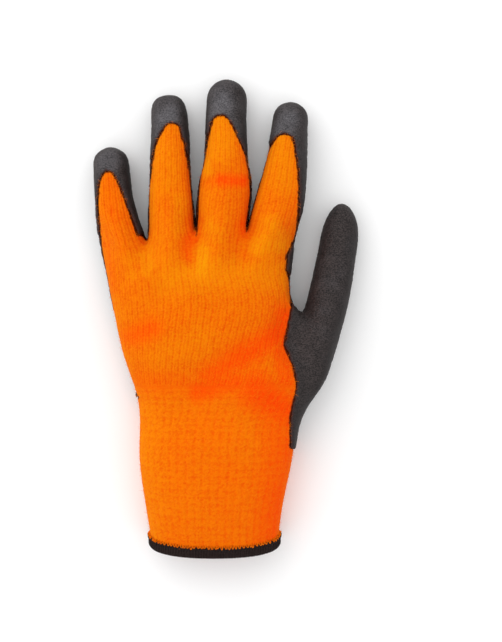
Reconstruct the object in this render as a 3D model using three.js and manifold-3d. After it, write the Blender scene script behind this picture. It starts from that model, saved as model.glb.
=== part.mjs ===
import * as THREE from 'three';
import { mergeVertices } from 'three/addons/utils/BufferGeometryUtils.js';
import Module from 'manifold-3d';

// A thermal work glove for the left hand, lying palm down as it comes off the hand.
// It is a thick seamless knit with an elastic wrist cuff, dipped in latex over the palm, the thumb,
// the sides of the fingers and the fingertips, with an overlocked hem around the cuff's edge.
// Millimetres. +X points to the thumb side, +Y to the fingertips and +Z up out of the back of the hand.
// All walls follow one surface, the outside of the knit, which is refined from a coarse cage.

// Walls, measured along the surface's normal
const KNIT_WALL = 2.6;
const LATEX_WALL = 0.9;
const HEM_WALL = 0.9;
const GAP = 0.3;
const FLAT_LEVEL = GAP + LATEX_WALL;

// Lengths along the glove
const HEM_HEIGHT = 5.5;
const HEM_FOLD = 1.2;
const EDGE_SLACK = 0.1;
const CUFF_TOP = 78;
const LATEX_END = { ulnar: 90, radial: 60 };
const HALF_REACH = 90;
const HEADROOM = 70;

const UP = new THREE.Vector3(0, 0, 1);
const REFINEMENTS = 1;
const LINING_REFINEMENTS = 0;
const FITTING_PASSES = 12;

// Shares of the half width at which the cage's columns cross the back and the palm
const COLUMN_SHARES = [-0.94, -0.76, -0.53, -0.28, -0.03, 0.225, 0.48, 0.72, 0.93];
const COLUMNS = 20;
const RADIAL_COLUMN = 10;
const BACK_FULLNESS = 2.3;
const PALM_FULLNESS = 3.2;

// Sections of the cuff and the hand, from the hem to the knuckles.
// side, crown and palm are heights; reach is how much further out the crown's edge lies.
const HAND_ROWS = [
  { y: 9.5, left: -34.6, right: 35.2, side: 15.0, crown: 32.0, palm: 0.7, reach: 6.0 },
  { y: 15.0, left: -35.0, right: 35.4, side: 15.3, crown: 33.0, palm: 0.7, reach: 6.0 },
  { y: 33.0, left: -37.7, right: 37.9, side: 16.9, crown: 37.3, palm: 0.7, reach: 4.3 },
  { y: 56.0, left: -40.5, right: 42.6, side: 18.0, crown: 39.4, palm: 0.7, reach: 2.0 },
  { y: 78.0, left: -40.6, right: 47.0, side: 18.0, crown: 38.3, palm: 0.7, reach: 0.0 },
  { y: 95.0, left: -43.6, right: 57.4, side: 17.0, crown: 39.0, palm: 0.7, reach: 0.0 },
  { y: 114.0, left: -49.9, right: 46.5, side: 17.5, crown: 41.8, palm: 0.7, reach: 0.0 },
  { y: 139.3, left: -55.4, right: 42.6, side: 17.0, crown: 43.0, palm: 0.8, reach: 0.0 },
  { y: 156.0, left: -58.4, right: 41.0, side: 16.5, crown: 41.0, palm: 1.4, reach: 0.0 },
];
const THUMB_ROW = 5;

// Crotches between the fingers, with the two sides of the hand first and last
const CROTCHES = [
  { x: -61.8, y: 172.0, inset: 5.5, back: 26.0, web: 15.5, palm: 4.5 },
  { x: -36.4, y: 172.5, inset: 0.0, back: 29.0, web: 17.0, palm: 5.5 },
  { x: -9.8, y: 178.5, inset: 0.0, back: 31.0, web: 18.0, palm: 6.0 },
  { x: 17.4, y: 178.5, inset: 0.0, back: 31.0, web: 18.5, palm: 6.0 },
  { x: 44.0, y: 177.0, inset: -4.5, back: 28.0, web: 17.0, palm: 5.0 },
];
const CROTCH_SLOPE = { back: -3, web: 1.5, palm: -4 };
const KNUCKLES = [
  { back: 34.5, pad: 2.6 },
  { back: 37.5, pad: 2.6 },
  { back: 38.5, pad: 2.6 },
  { back: 37.0, pad: 2.6 },
];

// Sections along each finger's own line, from its root to its tip
const DIGITS = {
  little: [
    { x: -53.6, y: 189.0, z: 16.5, wide: 20.3, tall: 22.0 },
    { x: -55.5, y: 205.0, z: 14.2, wide: 18.0, tall: 20.0 },
    { x: -56.6, y: 216.0, z: 10.6, wide: 17.2, tall: 17.8 },
    { x: -57.2, y: 221.3, z: 9.4, wide: 13.4, tall: 13.4 },
    { x: -57.2, y: 224.6, z: 9.2 },
  ],
  ring: [
    { x: -23.6, y: 196.0, z: 20.5, wide: 23.2, tall: 24.5 },
    { x: -23.9, y: 216.0, z: 17.6, wide: 20.6, tall: 22.5 },
    { x: -24.3, y: 237.0, z: 11.4, wide: 18.2, tall: 19.0 },
    { x: -25.4, y: 249.3, z: 9.8, wide: 14.8, tall: 14.6 },
    { x: -25.6, y: 253.1, z: 9.4 },
  ],
  middle: [
    { x: 6.1, y: 204.0, z: 21.2, wide: 27.8, tall: 25.0 },
    { x: 6.4, y: 218.0, z: 19.0, wide: 22.8, tall: 23.4 },
    { x: 6.5, y: 243.0, z: 11.8, wide: 20.0, tall: 19.8 },
    { x: 7.0, y: 256.4, z: 10.0, wide: 17.2, tall: 15.4 },
    { x: 6.8, y: 261.8, z: 9.6 },
  ],
  index: [
    { x: 35.3, y: 195.0, z: 20.5, wide: 25.2, tall: 24.5 },
    { x: 39.0, y: 216.0, z: 17.2, wide: 21.4, tall: 22.5 },
    { x: 41.2, y: 235.0, z: 11.6, wide: 17.6, tall: 19.4 },
    { x: 42.0, y: 245.0, z: 10.0, wide: 14.8, tall: 14.6 },
    { x: 42.2, y: 249.3, z: 9.8 },
  ],
  thumb: [
    { x: 55.9, y: 122.0, z: 15.0, wide: 29.4, tall: 26.0 },
    { x: 61.9, y: 140.5, z: 13.4, wide: 20.2, tall: 22.5 },
    { x: 67.0, y: 166.0, z: 11.4, wide: 18.8, tall: 19.8 },
    { x: 69.6, y: 183.5, z: 10.4, wide: 15.6, tall: 16.8 },
    { x: 70.2, y: 193.9, z: 9.6 },
  ],
};
const DIGIT_FULLNESS = 2.15;
const DIGIT_ANGLES = [135, 90, 45, 0, -45, -90, -135, 180];
const THUMB_ROOT_DIRECTION = new THREE.Vector3(0.85, 0.53, 0);

// Folds and dents in the back of the glove: the line that each follows, its half width and its depth
const FOLDS = [
  { x: -10, y: 92, toX: 44, toY: 127, half: 11, depth: 2.4 },
  { x: -52, y: 124, toX: -27, toY: 142, half: 9, depth: 1.8 },
  { x: -38, y: 78, toX: 40, toY: 83, half: 10, depth: 2.0 },
  { x: 31, y: 76, toX: 36, toY: 92, half: 10, depth: 1.6 },
  { x: -11, y: 182, toX: -13, toY: 160, half: 6, depth: 2.0 },
  { x: 17.5, y: 179, toX: 13, toY: 164, half: 6, depth: 2.0 },
  { x: -6, y: 207, toX: 18, toY: 207, half: 5, depth: 1.0 },
];

// Where the knit shows on the back: the left and right edge of the bare window, and the height
// of the line down the side where the latex stops
const HAND_WINDOW = [
  { y: 50.0, left: -60.0, right: 60.0, level: 15.0 },
  { y: 62.0, left: -40.2, right: 41.6, level: 15.0 },
  { y: 79.3, left: -39.9, right: 41.6, level: 15.0 },
  { y: 90.1, left: -41.5, right: 43.8, level: 15.0 },
  { y: 95.6, left: -43.6, right: 45.0, level: 15.0 },
  { y: 106.4, left: -47.6, right: 42.9, level: 15.0 },
  { y: 117.3, left: -50.3, right: 38.2, level: 15.0 },
  { y: 128.2, left: -53.0, right: 40.3, level: 15.0 },
  { y: 138.0, left: -55.0, right: 42.4, level: 15.0 },
  { y: 150.0, left: -57.3, right: 42.4, level: 15.0 },
  { y: 158.0, left: -58.7, right: 39.6, level: 15.0 },
  { y: 166.0, left: -60.2, right: 40.0, level: 15.0 },
  { y: 177.0, left: -62.2, right: 45.3, level: 15.0 },
];
const FINGER_WINDOWS = [
  [
    { y: 170.0, left: -61.2, right: -38.0, level: 14.0 },
    { y: 177.0, left: -62.2, right: -41.0, level: 15.0 },
    { y: 193.0, left: -63.3, right: -46.6, level: 15.0 },
    { y: 204.0, left: -62.9, right: -51.0, level: 13.0 },
    { y: 209.6, left: -60.6, right: -53.9, level: 11.0 },
    { y: 210.9, left: -59.4, right: -55.1, level: 10.0 },
    { y: 211.6, left: -58.0, right: -56.4, level: 10.0 },
  ],
  [
    { y: 168.0, left: -38.5, right: -9.0, level: 16.0 },
    { y: 182.0, left: -37.5, right: -9.0, level: 18.0 },
    { y: 198.0, left: -36.0, right: -10.8, level: 18.5 },
    { y: 214.8, left: -34.2, right: -13.2, level: 16.0 },
    { y: 225.5, left: -32.2, right: -15.4, level: 13.0 },
    { y: 231.0, left: -29.6, right: -17.2, level: 12.0 },
    { y: 235.8, left: -26.9, right: -18.3, level: 11.0 },
    { y: 237.3, left: -25.0, right: -20.2, level: 11.0 },
    { y: 237.9, left: -23.6, right: -21.6, level: 11.0 },
  ],
  [
    { y: 168.0, left: -10.5, right: 18.0, level: 17.0 },
    { y: 182.0, left: -9.5, right: 18.6, level: 19.0 },
    { y: 198.0, left: -9.2, right: 20.6, level: 20.0 },
    { y: 209.4, left: -8.0, right: 19.8, level: 19.0 },
    { y: 220.3, left: -5.4, right: 17.6, level: 17.0 },
    { y: 231.0, left: -3.6, right: 12.8, level: 14.0 },
    { y: 236.3, left: -1.9, right: 10.2, level: 12.0 },
    { y: 239.9, left: -0.8, right: 7.9, level: 12.0 },
    { y: 241.5, left: 0.9, right: 6.1, level: 12.0 },
    { y: 242.2, left: 2.3, right: 4.5, level: 12.0 },
  ],
  [
    { y: 168.0, left: 16.5, right: 40.4, level: 15.0 },
    { y: 177.0, left: 16.8, right: 45.3, level: 16.0 },
    { y: 193.0, left: 19.5, right: 46.2, level: 18.0 },
    { y: 204.0, left: 23.0, right: 46.2, level: 18.0 },
    { y: 214.6, left: 26.0, right: 45.5, level: 15.0 },
    { y: 220.3, left: 27.6, right: 44.5, level: 13.0 },
    { y: 225.5, left: 30.4, right: 43.8, level: 12.0 },
    { y: 229.7, left: 33.5, right: 42.5, level: 12.0 },
    { y: 231.1, left: 35.4, right: 40.7, level: 12.0 },
    { y: 231.7, left: 37.0, right: 39.0, level: 12.0 },
  ],
];
const WINDOW_STEP = 6;

// Section of the overlocked hem, which wraps the knit's edge:
// along is measured from the edge up the cuff, out along the surface's normal
const HEM_SECTION = [
  { along: 0, out: -0.3 * KNIT_WALL },
  { along: 0.9, out: GAP + HEM_WALL },
  { along: HEM_HEIGHT, out: GAP + 0.6 * HEM_WALL },
  { along: HEM_HEIGHT, out: GAP },
  { along: HEM_FOLD, out: GAP },
  { along: HEM_FOLD, out: -KNIT_WALL - GAP },
  { along: HEM_HEIGHT, out: -KNIT_WALL - GAP },
  { along: HEM_HEIGHT, out: -KNIT_WALL - GAP - 0.6 * HEM_WALL },
  { along: 0.9, out: -KNIT_WALL - GAP - HEM_WALL },
  { along: 0, out: -0.7 * KNIT_WALL },
];

const MATERIALS = {
  knit_hand: { color: 0xf57a12, roughness: 0.95 },
  knit_cuff: { color: 0xf0740f, roughness: 0.95 },
  latex_coating: { color: 0x4c474d, roughness: 0.6 },
  hem_binding: { color: 0x2b2022, roughness: 0.9 },
};

// A superellipse's height at a share of its half width
function bulge(share, fullness) {
  return Math.pow(1 - Math.pow(Math.abs(share), fullness), 1 / fullness);
}

// One closed line of the cage around the cuff or the hand, from the little finger's side over the back
function handLine(row) {
  const middle = (row.left + row.right) / 2;
  const halfWidth = (row.right - row.left) / 2;
  const back = COLUMN_SHARES.map((share) => {
    const lift = bulge(share, BACK_FULLNESS);
    const z = row.side + (row.crown - row.side) * lift;
    return new THREE.Vector3(middle + halfWidth * share, row.y - row.reach * lift, z);
  });
  const palm = COLUMN_SHARES.map((share) => {
    const z = row.side - (row.side - row.palm) * bulge(share, PALM_FULLNESS);
    return new THREE.Vector3(middle + halfWidth * share, row.y, z);
  }).reverse();
  const leftEdge = new THREE.Vector3(row.left, row.y, row.side);
  const rightEdge = new THREE.Vector3(row.right, row.y, row.side);
  return [leftEdge, ...back, rightEdge, ...palm];
}

// Eight points around one section of a digit, square to the digit's direction
function digitSection(section, direction) {
  const centre = new THREE.Vector3(section.x, section.y, section.z);
  const sideways = new THREE.Vector3().crossVectors(direction, UP).normalize();
  const upwards = new THREE.Vector3().crossVectors(sideways, direction).normalize();
  return DIGIT_ANGLES.map((degrees) => {
    const across = Math.cos(THREE.MathUtils.degToRad(degrees));
    const up = Math.sin(THREE.MathUtils.degToRad(degrees));
    const spread = Math.pow(
      Math.pow(Math.abs(across), DIGIT_FULLNESS) + Math.pow(Math.abs(up), DIGIT_FULLNESS),
      -1 / DIGIT_FULLNESS,
    );
    return centre.clone()
      .addScaledVector(sideways, (section.wide / 2) * spread * across)
      .addScaledVector(upwards, (section.tall / 2) * spread * up);
  });
}

// The coarse cage of four-sided faces: lines around the hand, then the digits on their roots
function makeCage() {
  const points = [];
  const faces = [];
  const add = (point) => points.push(point) - 1;
  const join = (a, b, c, d) => faces.push([a, b, c, d]);

  const lines = HAND_ROWS.map((row) => handLine(row).map(add));
  const crotches = CROTCHES.map((crotch, index) => {
    const between = index > 0 && index < CROTCHES.length - 1;
    const slope = between ? CROTCH_SLOPE : { back: 0, web: 0, palm: 0 };
    const x = crotch.x + crotch.inset;
    return {
      back: add(new THREE.Vector3(x, crotch.y + slope.back, crotch.back)),
      web: add(new THREE.Vector3(crotch.x, crotch.y + slope.web, crotch.web)),
      palm: add(new THREE.Vector3(x, crotch.y + slope.palm, crotch.palm)),
    };
  });
  const knuckles = KNUCKLES.map((knuckle, index) => {
    const x = (CROTCHES[index].x + CROTCHES[index + 1].x) / 2;
    const y = (CROTCHES[index].y + CROTCHES[index + 1].y) / 2;
    return {
      back: add(new THREE.Vector3(x, y - 1, knuckle.back)),
      pad: add(new THREE.Vector3(x, y - 2, knuckle.pad)),
    };
  });
  const [first, , , , last] = crotches;
  const backLine = knuckles.flatMap((knuckle, index) => [crotches[index].back, knuckle.back]);
  const palmLine = knuckles.flatMap((knuckle, index) => [crotches[index].palm, knuckle.pad]);
  lines.push([
    first.web, ...backLine, last.back,
    last.web, last.palm, ...palmLine.reverse(),
  ]);

  const isThumbHole = (row, column) => (row === THUMB_ROW || row === THUMB_ROW + 1)
    && (column === RADIAL_COLUMN - 1 || column === RADIAL_COLUMN);
  for (let row = 0; row + 1 < lines.length; row += 1) {
    for (let column = 0; column < COLUMNS; column += 1) {
      const next = (column + 1) % COLUMNS;
      if (!isThumbHole(row, column)) {
        join(lines[row][column], lines[row][next], lines[row + 1][next], lines[row + 1][column]);
      }
    }
  }

  const roots = {};
  ['little', 'ring', 'middle', 'index'].forEach((name, index) => {
    const left = crotches[index];
    const right = crotches[index + 1];
    const knuckle = knuckles[index];
    roots[name] = [
      left.back, knuckle.back, right.back, right.web, right.palm, knuckle.pad, left.palm, left.web,
    ];
  });
  const [near, middle, far] = [0, 1, 2].map((step) => lines[THUMB_ROW + step]);
  const [before, at, after] = [RADIAL_COLUMN - 1, RADIAL_COLUMN, RADIAL_COLUMN + 1];
  roots.thumb = [
    far[before], middle[before], near[before], near[at], near[after], middle[after], far[after], far[at],
  ];

  Object.entries(DIGITS).forEach(([name, sections]) => {
    let previous = roots[name];
    const root = previous.reduce((sum, index) => sum.add(points[index]), new THREE.Vector3());
    const centres = [root.divideScalar(previous.length)];
    sections.forEach((section) => centres.push(new THREE.Vector3(section.x, section.y, section.z)));
    sections.slice(0, -1).forEach((section, index) => {
      const direction = centres[index + 2].clone().sub(centres[index]);
      if (name === 'thumb' && index === 0) {
        direction.copy(THUMB_ROOT_DIRECTION);
      }
      const line = digitSection(section, direction.normalize()).map(add);
      line.forEach((corner, side) => {
        const next = (side + 1) % line.length;
        join(previous[side], previous[next], line[next], corner);
      });
      previous = line;
    });
    const tip = add(centres[centres.length - 1]);
    [7, 1, 3, 5].forEach((side) => {
      join(previous[side], previous[(side + 1) % 8], previous[(side + 2) % 8], tip);
    });
  });
  return dropUnused(points, faces);
}

// The same mesh without the points that no face uses
function dropUnused(points, faces) {
  const places = new Map();
  const kept = [];
  const renumbered = faces.map((face) => face.map((corner) => {
    if (!places.has(corner)) {
      places.set(corner, kept.push(points[corner]) - 1);
    }
    return places.get(corner);
  }));
  return { points: kept, faces: renumbered };
}

// Every edge once, with the faces on it, and each face's four edges in order
function findEdges(faces) {
  const edges = [];
  const known = new Map();
  const faceEdges = faces.map((face, index) => face.map((corner, side) => {
    const other = face[(side + 1) % 4];
    const key = corner < other ? `${corner} ${other}` : `${other} ${corner}`;
    if (!known.has(key)) {
      known.set(key, edges.push({ ends: [corner, other], faces: [] }) - 1);
    }
    edges[known.get(key)].faces.push(index);
    return known.get(key);
  }));
  return { edges, faceEdges };
}

// For each point on the open edge, the sum of its two neighbours along that edge
function sumRimNeighbours(points, edges) {
  const sums = new Map();
  edges.filter((edge) => edge.faces.length === 1).forEach(({ ends: [first, second] }) => {
    [[first, second], [second, first]].forEach(([end, other]) => {
      sums.set(end, (sums.get(end) ?? new THREE.Vector3()).add(points[other]));
    });
  });
  return sums;
}

// Where each point of a mesh comes to lie on its smooth limit surface
function limitPoints({ points, faces }) {
  const around = points.map(() => 0);
  const sums = points.map(() => new THREE.Vector3());
  faces.forEach((face) => face.forEach((corner, side) => {
    around[corner] += 1;
    sums[corner].addScaledVector(points[face[(side + 1) % 4]], 2);
    sums[corner].addScaledVector(points[face[(side + 3) % 4]], 2);
    sums[corner].add(points[face[(side + 2) % 4]]);
  }));
  const rimSums = sumRimNeighbours(points, findEdges(faces).edges);
  return points.map((point, index) => {
    const count = around[index];
    if (rimSums.has(index)) {
      return rimSums.get(index).addScaledVector(point, 4).divideScalar(6);
    }
    return sums[index].addScaledVector(point, count * count).divideScalar(count * (count + 5));
  });
}

// The cage whose limit surface passes through the given points
function fitCage({ points, faces }) {
  let fitted = points.map((point) => point.clone());
  for (let pass = 0; pass < FITTING_PASSES; pass += 1) {
    const limits = limitPoints({ points: fitted, faces });
    fitted = fitted.map((point, index) => point.clone().add(points[index]).sub(limits[index]));
  }
  return { points: fitted, faces };
}

// One step of smooth subdivision: each face becomes four
function subdivide({ points, faces }) {
  const { edges, faceEdges } = findEdges(faces);
  const average = (list) => list.reduce((sum, point) => sum.add(point), new THREE.Vector3())
    .divideScalar(list.length);
  const facePoints = faces.map((face) => average(face.map((corner) => points[corner])));
  const middles = edges.map((edge) => average(edge.ends.map((end) => points[end])));
  const edgePoints = edges.map((edge, index) => {
    if (edge.faces.length === 1) {
      return middles[index];
    }
    return average([...edge.ends.map((end) => points[end]), ...edge.faces.map((face) => facePoints[face])]);
  });

  const facesAt = points.map(() => []);
  faces.forEach((face, index) => face.forEach((corner) => facesAt[corner].push(facePoints[index])));
  const middlesAt = points.map(() => []);
  edges.forEach((edge, index) => edge.ends.forEach((end) => middlesAt[end].push(middles[index])));
  const rimSums = sumRimNeighbours(points, edges);
  const cornerPoints = points.map((point, index) => {
    const count = facesAt[index].length;
    if (rimSums.has(index)) {
      return rimSums.get(index).addScaledVector(point, 6).divideScalar(8);
    }
    return average(facesAt[index])
      .addScaledVector(average(middlesAt[index]), 2)
      .addScaledVector(point, count - 3)
      .divideScalar(count);
  });

  const firstEdge = points.length;
  const firstFace = firstEdge + edges.length;
  const quarters = faces.flatMap((face, index) => face.map((corner, side) => [
    corner,
    firstEdge + faceEdges[index][side],
    firstFace + index,
    firstEdge + faceEdges[index][(side + 3) % 4],
  ]));
  return { points: [...cornerPoints, ...edgePoints, ...facePoints], faces: quarters };
}

function findNormals({ points, faces }) {
  const normals = points.map(() => new THREE.Vector3());
  const across = new THREE.Vector3();
  const along = new THREE.Vector3();
  faces.forEach((face) => {
    across.subVectors(points[face[2]], points[face[0]]);
    along.subVectors(points[face[3]], points[face[1]]);
    across.cross(along);
    face.forEach((corner) => normals[corner].add(across));
  });
  return normals.map((normal) => normal.normalize());
}

// How deep the folds press the back of the glove in at a point
function foldDepth(point) {
  return FOLDS.reduce((depth, fold) => {
    const runX = fold.toX - fold.x;
    const runY = fold.toY - fold.y;
    const share = ((point.x - fold.x) * runX + (point.y - fold.y) * runY) / (runX * runX + runY * runY);
    const nearest = THREE.MathUtils.clamp(share, 0, 1);
    const distance = Math.hypot(point.x - fold.x - nearest * runX, point.y - fold.y - nearest * runY);
    return depth + fold.depth * (1 - THREE.MathUtils.smoothstep(distance, 0, 2 * fold.half));
  }, 0);
}

// The outside of the knit: a refined surface with its folds, and the open edge at the wrist
function makeSurface(refinements) {
  let mesh = fitCage(makeCage());
  for (let step = 0; step < refinements; step += 1) {
    mesh = subdivide(mesh);
  }
  mesh.points = limitPoints(mesh);
  mesh.rimLines = findRimLines(mesh.faces);
  if (refinements > 0) {
    evenHemLine(mesh);
  }
  findNormals(mesh).forEach((normal, index) => {
    const point = mesh.points[index];
    point.addScaledVector(normal, -foldDepth(point) * Math.max(normal.z, 0));
  });
  mesh.normals = findNormals(mesh);
  return mesh;
}

// The open edge's points in order, and the next two lines of points up the cuff from it
function findRimLines(faces) {
  const next = new Map();
  findEdges(faces).edges.forEach((edge) => {
    if (edge.faces.length === 1) {
      next.set(edge.ends[0], edge.ends[1]);
    }
  });
  const [start] = next.keys();
  const rim = [start];
  while (next.get(rim[rim.length - 1]) !== start) {
    rim.push(next.get(rim[rim.length - 1]));
  }
  const opposite = new Map();
  faces.forEach((face) => face.forEach((corner, side) => {
    opposite.set(`${corner} ${face[(side + 1) % 4]}`, face[(side + 3) % 4]);
  }));
  const climb = (line) => line.map((corner, index) => {
    const neighbour = line[(index + 1) % line.length];
    return opposite.get(`${corner} ${neighbour}`);
  });
  const second = climb(rim);
  return [rim, second, climb(second)];
}

// Lays the line of points inside the hem's strip halfway up it
function evenHemLine({ points, rimLines: [rim, second, third] }) {
  second.forEach((corner, index) => {
    points[corner].addVectors(points[rim[index]], points[third[index]]).divideScalar(2);
  });
}

// A place out from the surface. Everything stays above the floor, and above the layers under it.
function place(point, normal, out) {
  const placed = point.clone().addScaledVector(normal, out);
  placed.z = Math.max(placed.z, FLAT_LEVEL - out);
  return placed;
}

// A closed solid from points and faces of three or four corners
function solidFrom(points, faces) {
  const triangles = faces.flatMap((face) => {
    if (face.length === 3) {
      return face;
    }
    const [a, b, c, d] = face;
    return [a, b, c, a, c, d];
  });
  const mesh = new wasm.Mesh({
    numProp: 3,
    vertProperties: new Float32Array(points.flatMap((point) => [point.x, point.y, point.z])),
    triVerts: new Uint32Array(triangles),
  });
  return new wasm.Manifold(mesh);
}

// A solid from one of three's own geometries
function solidFromGeometry(geometry) {
  geometry.deleteAttribute('normal');
  geometry.deleteAttribute('uv');
  const merged = mergeVertices(geometry);
  const mesh = new wasm.Mesh({
    numProp: 3,
    vertProperties: merged.attributes.position.array,
    triVerts: new Uint32Array(merged.index.array),
  });
  return new wasm.Manifold(mesh);
}

// A ring of points around the wrist, a given way up from the open edge and out from the surface
function wristRing(surface, along, out) {
  const [rim, second, third] = surface.rimLines;
  return rim.map((corner, index) => {
    const ladder = [corner, second[index], third[index]];
    const steps = [0, 1].map((step) => (
      surface.points[ladder[step]].distanceTo(surface.points[ladder[step + 1]])
    ));
    const onFirst = along <= steps[0];
    const share = onFirst ? along / steps[0] : (along - steps[0]) / steps[1];
    const [from, to] = onFirst ? ladder : ladder.slice(1);
    const point = surface.points[from].clone().lerp(surface.points[to], share);
    const normal = surface.normals[from].clone().lerp(surface.normals[to], share).normalize();
    return place(point, normal, out);
  });
}

// The whole glove as a solid lump, grown out from the surface, from a given way up its open edge.
// It is closed over the wrist by a short square step inwards and a fan of faces.
function lump(surface, out, from = 0) {
  const points = surface.points.map((point, index) => place(point, surface.normals[index], out));
  const [rim] = surface.rimLines;
  wristRing(surface, from, out).forEach((point, index) => {
    points[rim[index]] = point;
  });
  const step = wristRing(surface, from, out - 2 * KNIT_WALL).map((point) => points.push(point) - 1);
  const centre = step.reduce((sum, index) => sum.add(points[index]), new THREE.Vector3());
  const hub = points.push(centre.divideScalar(step.length)) - 1;
  const cap = rim.flatMap((corner, index) => {
    const next = (index + 1) % rim.length;
    return [
      [rim[next], corner, step[index], step[next]],
      [step[next], step[index], hub],
    ];
  });
  return solidFrom(points, [...surface.faces, ...cap]);
}

// A hollow knit with its edge inside the hem's fold, open at the wrist
function makeKnit(surface, lining) {
  const outside = lump(surface, 0, HEM_FOLD + GAP + EDGE_SLACK);
  return outside.subtract(lump(lining, -KNIT_WALL, -HEM_HEIGHT));
}

// A block right across the glove between two places along it
function acrossBlock(fromY, toY) {
  const block = new THREE.BoxGeometry(2 * HALF_REACH, toY - fromY, 2 * HEADROOM);
  block.translate(0, (fromY + toY) / 2, 0);
  return solidFromGeometry(block);
}

// The block of air over one bare window, smoothed between its rows
function windowSolid(rows) {
  const edges = new THREE.CatmullRomCurve3(
    rows.map((row) => new THREE.Vector3(row.left, row.right, row.level)),
    false,
    'catmullrom',
  );
  const sections = [];
  rows.forEach((row, index) => {
    const following = rows[index + 1];
    const steps = following ? Math.ceil((following.y - row.y) / WINDOW_STEP) : 1;
    for (let step = 0; step < steps; step += 1) {
      const share = step / steps;
      const { x: left, y: right, z: level } = edges.getPoint((index + share) / (rows.length - 1));
      const y = following ? THREE.MathUtils.lerp(row.y, following.y, share) : row.y;
      sections.push([
        new THREE.Vector3(left, y, level),
        new THREE.Vector3(right, y, level),
        new THREE.Vector3(right, y, HEADROOM),
        new THREE.Vector3(left, y, HEADROOM),
      ]);
    }
  });
  const faces = [[0, 1, 2, 3]];
  for (let section = 0; section + 1 < sections.length; section += 1) {
    for (let side = 0; side < 4; side += 1) {
      const near = 4 * section + side;
      const nearNext = 4 * section + ((side + 1) % 4);
      faces.push([nearNext, near, near + 4, nearNext + 4]);
    }
  }
  const last = 4 * (sections.length - 1);
  faces.push([last + 3, last + 2, last + 1, last]);
  return solidFrom(sections.flat(), faces);
}

// What lies below the dip line, which slants over the wrist
function wristTrim() {
  const slope = (LATEX_END.radial - LATEX_END.ulnar) / HALF_REACH;
  const middle = (LATEX_END.radial + LATEX_END.ulnar) / 2;
  const outline = new THREE.Shape([
    new THREE.Vector2(-HALF_REACH, -HALF_REACH),
    new THREE.Vector2(HALF_REACH, -HALF_REACH),
    new THREE.Vector2(HALF_REACH, middle + slope * HALF_REACH),
    new THREE.Vector2(-HALF_REACH, middle - slope * HALF_REACH),
  ]);
  const block = new THREE.ExtrudeGeometry(outline, { depth: 2 * HEADROOM, bevelEnabled: false });
  block.translate(0, 0, -HEADROOM);
  return solidFromGeometry(block);
}

// The latex skin: a thin layer over the whole hand, less the bare windows and the wrist
function makeCoating(surface) {
  let skin = lump(surface, GAP + LATEX_WALL).subtract(wristTrim());
  skin = skin.subtract(lump(surface, GAP)).subtract(lump(surface, 0));
  [HAND_WINDOW, ...FINGER_WINDOWS].forEach((rows) => {
    skin = skin.subtract(windowSolid(rows));
  });
  return skin;
}

// The hem: its section swept once around the wrist
function makeHem(surface) {
  const rings = HEM_SECTION.map((corner) => wristRing(surface, corner.along, corner.out));
  const columns = rings[0].length;
  const faces = rings.flatMap((ring, index) => ring.map((point, column) => {
    const next = (column + 1) % columns;
    const other = (index + 1) % rings.length;
    return [
      index * columns + column,
      index * columns + next,
      other * columns + next,
      other * columns + column,
    ];
  }));
  return solidFrom(rings.flat(), faces);
}

function makeMesh(name, solid) {
  const { vertProperties, triVerts } = solid.getMesh();
  const geometry = new THREE.BufferGeometry();
  geometry.setAttribute('position', new THREE.BufferAttribute(vertProperties, 3));
  geometry.setIndex(new THREE.BufferAttribute(triVerts, 1));
  geometry.computeVertexNormals();
  const material = new THREE.MeshStandardMaterial({ ...MATERIALS[name], metalness: 0 });
  const mesh = new THREE.Mesh(geometry, material);
  mesh.name = name;
  return mesh;
}

const wasm = await Module();
wasm.setup();

const surface = makeSurface(REFINEMENTS);
const lining = makeSurface(LINING_REFINEMENTS);
const knitHand = makeKnit(surface, lining).subtract(acrossBlock(-HALF_REACH, CUFF_TOP + GAP / 2));
const knitCuff = makeKnit(surface, surface).subtract(acrossBlock(CUFF_TOP - GAP / 2, 4 * HALF_REACH));

const glove = new THREE.Group();
glove.add(makeMesh('knit_hand', knitHand));
glove.add(makeMesh('knit_cuff', knitCuff));
glove.add(makeMesh('latex_coating', makeCoating(surface)));
glove.add(makeMesh('hem_binding', makeHem(surface)));

// The origin is under the middle of the glove, on the surface that it lies on
const extent = new THREE.Box3().setFromObject(glove);
const centre = extent.getCenter(new THREE.Vector3());
glove.position.set(-centre.x, -centre.y, 0);

export default glove;
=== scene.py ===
"""A thermal work glove, knitted in bright orange and dipped in dark latex, and its studio.

The tables are in millimetres in the glove's own frame: +X to the thumb side, +Y to the fingertips
and +Z out of the back of the hand. Meshes are in metres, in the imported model's frame.
"""

import math
from collections import namedtuple

import bpy
import numpy as np
from bpy.props import FloatProperty, FloatVectorProperty, IntProperty, PointerProperty
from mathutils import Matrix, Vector


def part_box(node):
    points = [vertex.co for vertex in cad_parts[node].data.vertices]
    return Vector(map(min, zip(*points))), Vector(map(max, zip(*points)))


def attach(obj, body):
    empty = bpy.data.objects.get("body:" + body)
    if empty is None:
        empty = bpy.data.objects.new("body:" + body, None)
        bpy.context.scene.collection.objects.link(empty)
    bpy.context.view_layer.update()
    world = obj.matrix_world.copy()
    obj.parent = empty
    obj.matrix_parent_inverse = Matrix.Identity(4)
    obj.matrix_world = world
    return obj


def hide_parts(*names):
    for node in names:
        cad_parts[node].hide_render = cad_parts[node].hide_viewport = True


bl_info = {
    "name": "Thermal Work Glove",
    "version": (1, 0, 0),
    "blender": (4, 5, 0),
    "location": "3D View > Sidebar > Glove",
    "description": "Builds a knitted work glove dipped in latex, and a studio to show it in",
    "category": "Add Mesh",
}

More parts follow.
